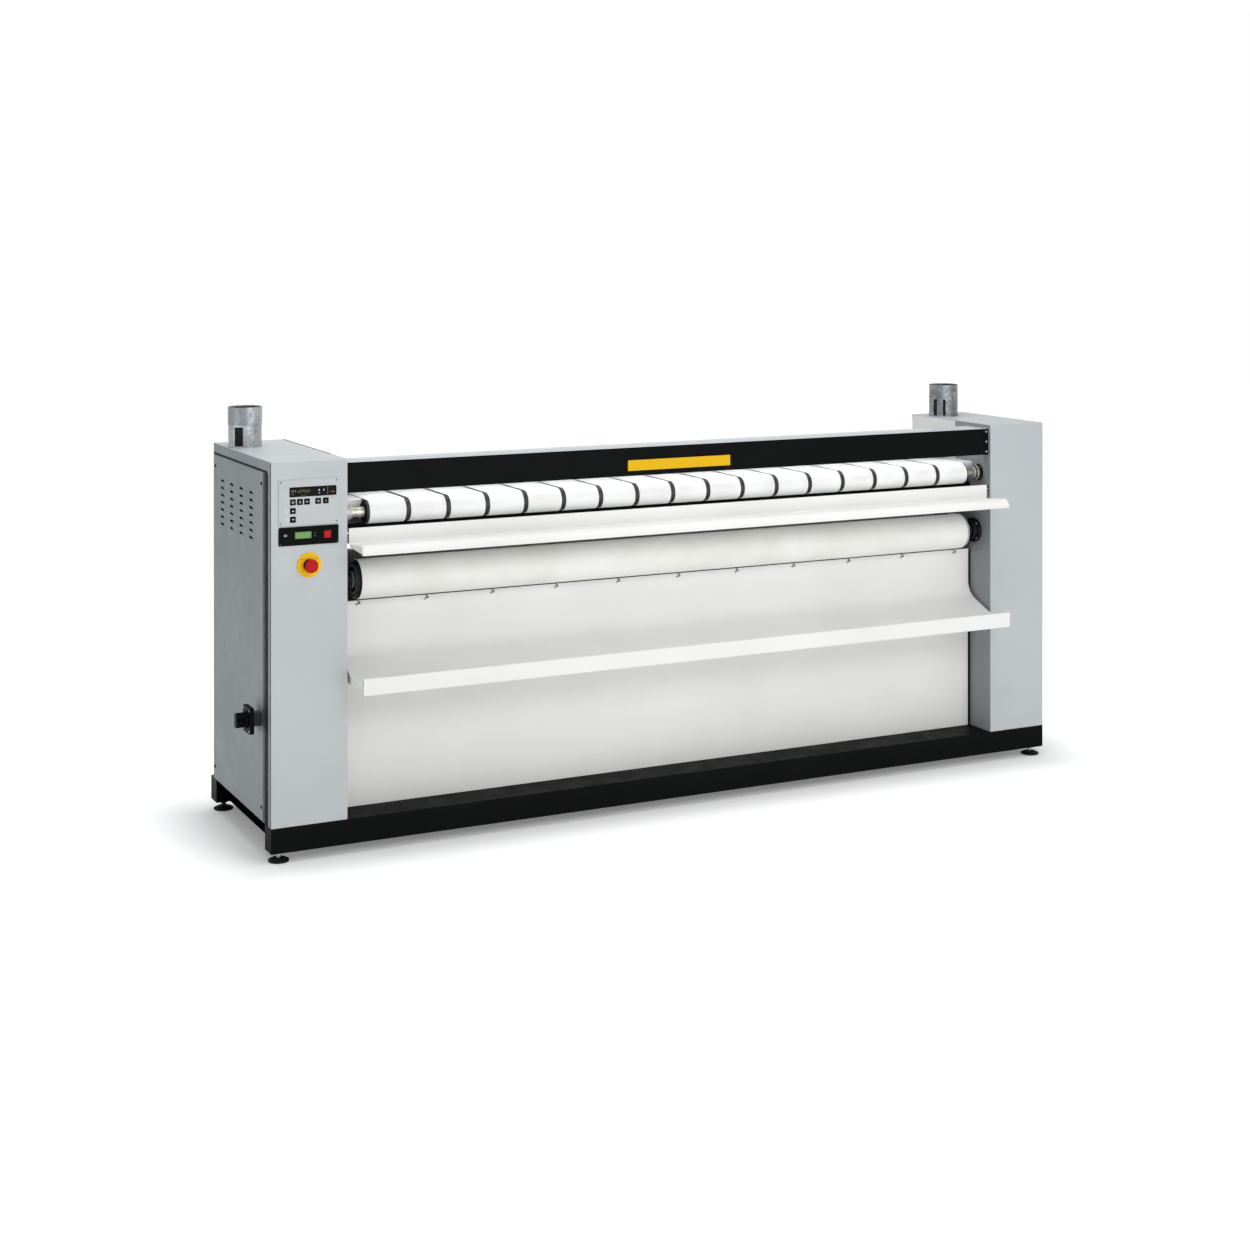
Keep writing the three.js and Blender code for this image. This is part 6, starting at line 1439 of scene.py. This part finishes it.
def studio_floor():
    """A pale floor for the camera, white far off and darker near the machine: its glow rises with the
    distance to a box of 2.7 x 0.64 m, length(max(|place| - half the box, 0)), so the dimmer glow round
    the machine is painted shade. It keeps the shadow."""
    reach = 14.0
    mesh = bpy.data.meshes.new("floor")
    mesh.from_pydata([(-reach, -reach, 0), (reach, -reach, 0), (reach, reach, 0), (-reach, reach, 0)], [],
                     [(0, 1, 2, 3)])
    material, tree, place = surface_of(
        "studio_floor", 0.9, Base_Color=linear("#f4f4f4"), Specular_IOR_Level=0.0,
        Emission_Color=(1, 1, 1, 1))
    for operation, *amount in (("ABSOLUTE",), ("SUBTRACT", (1.35, 0.32, 0.0)), ("MAXIMUM", (0.0, 0.0, 0.0))):
        inputs = dict(enumerate([place, *amount]))
        place = put(tree, "ShaderNodeVectorMath", inputs, operation=operation).outputs["Vector"]
    away = put(tree, "ShaderNodeVectorMath", {0: place}, operation="LENGTH")
    # Painted shade: the glow is weaker within 0.35 m of the machine's box.
    glow_with_painted_shade = put(tree, "ShaderNodeMapRange", {
        "Value": away.outputs["Value"], "From Max": 0.35, "To Min": 0.18, "To Max": 0.66})
    lifted = put(tree, "ShaderNodeMath", {
        0: background_rays(tree), 1: glow_with_painted_shade.outputs["Result"]}, operation="MULTIPLY")
    tree.links.new(lifted.outputs["Value"], tree.nodes["Principled BSDF"].inputs["Emission Strength"])
    mesh.materials.append(material)
    floor = placed("floor", mesh)


def studio_world(world):
    """Soft light of its own strength on the machine, plain white for the rays that show the
    background."""
    world.use_nodes = True
    tree = world.node_tree
    tree.nodes.clear()
    seen = background_rays(tree)
    ambient = put(tree, "ShaderNodeBackground", {"Color": linear("#f3f5f6"), "Strength": 0.46})
    backdrop = put(tree, "ShaderNodeBackground", {"Color": (1, 1, 1, 1), "Strength": 1.0})
    mix = put(tree, "ShaderNodeMixShader", {
        0: seen, 1: ambient.outputs["Background"], 2: backdrop.outputs["Background"]})
    put(tree, "ShaderNodeOutputWorld", {"Surface": mix.outputs["Shader"]})


def studio():
    """The floor, a white background, soft lamps and the photo's view."""
    studio_floor()
    scene = bpy.context.scene
    scene.world = scene.world or bpy.data.worlds.new("studio")
    studio_world(scene.world)
    for name, place, aim, size, power in LAMPS:
        light = bpy.data.lights.new(name, "AREA")
        light.shape = "RECTANGLE"
        light.size, light.size_y = size
        light.energy = power
        holder = placed(name, light)
        holder.location = place
        holder.rotation_euler = (Vector(aim) - Vector(place)).to_track_quat("-Z", "Y").to_euler()

    camera = bpy.data.cameras.new("photo_view")
    camera.sensor_width = CAMERA_SENSOR
    camera.lens = CAMERA_LENS
    camera.shift_y = CAMERA_SHIFT
    scene.camera = placed("photo_view", camera)
    scene.camera.location = CAMERA_PLACE
    scene.camera.rotation_euler = (math.radians(90), 0, math.radians(CAMERA_HEADING))
    scene.view_settings.view_transform = "Standard"


studio()
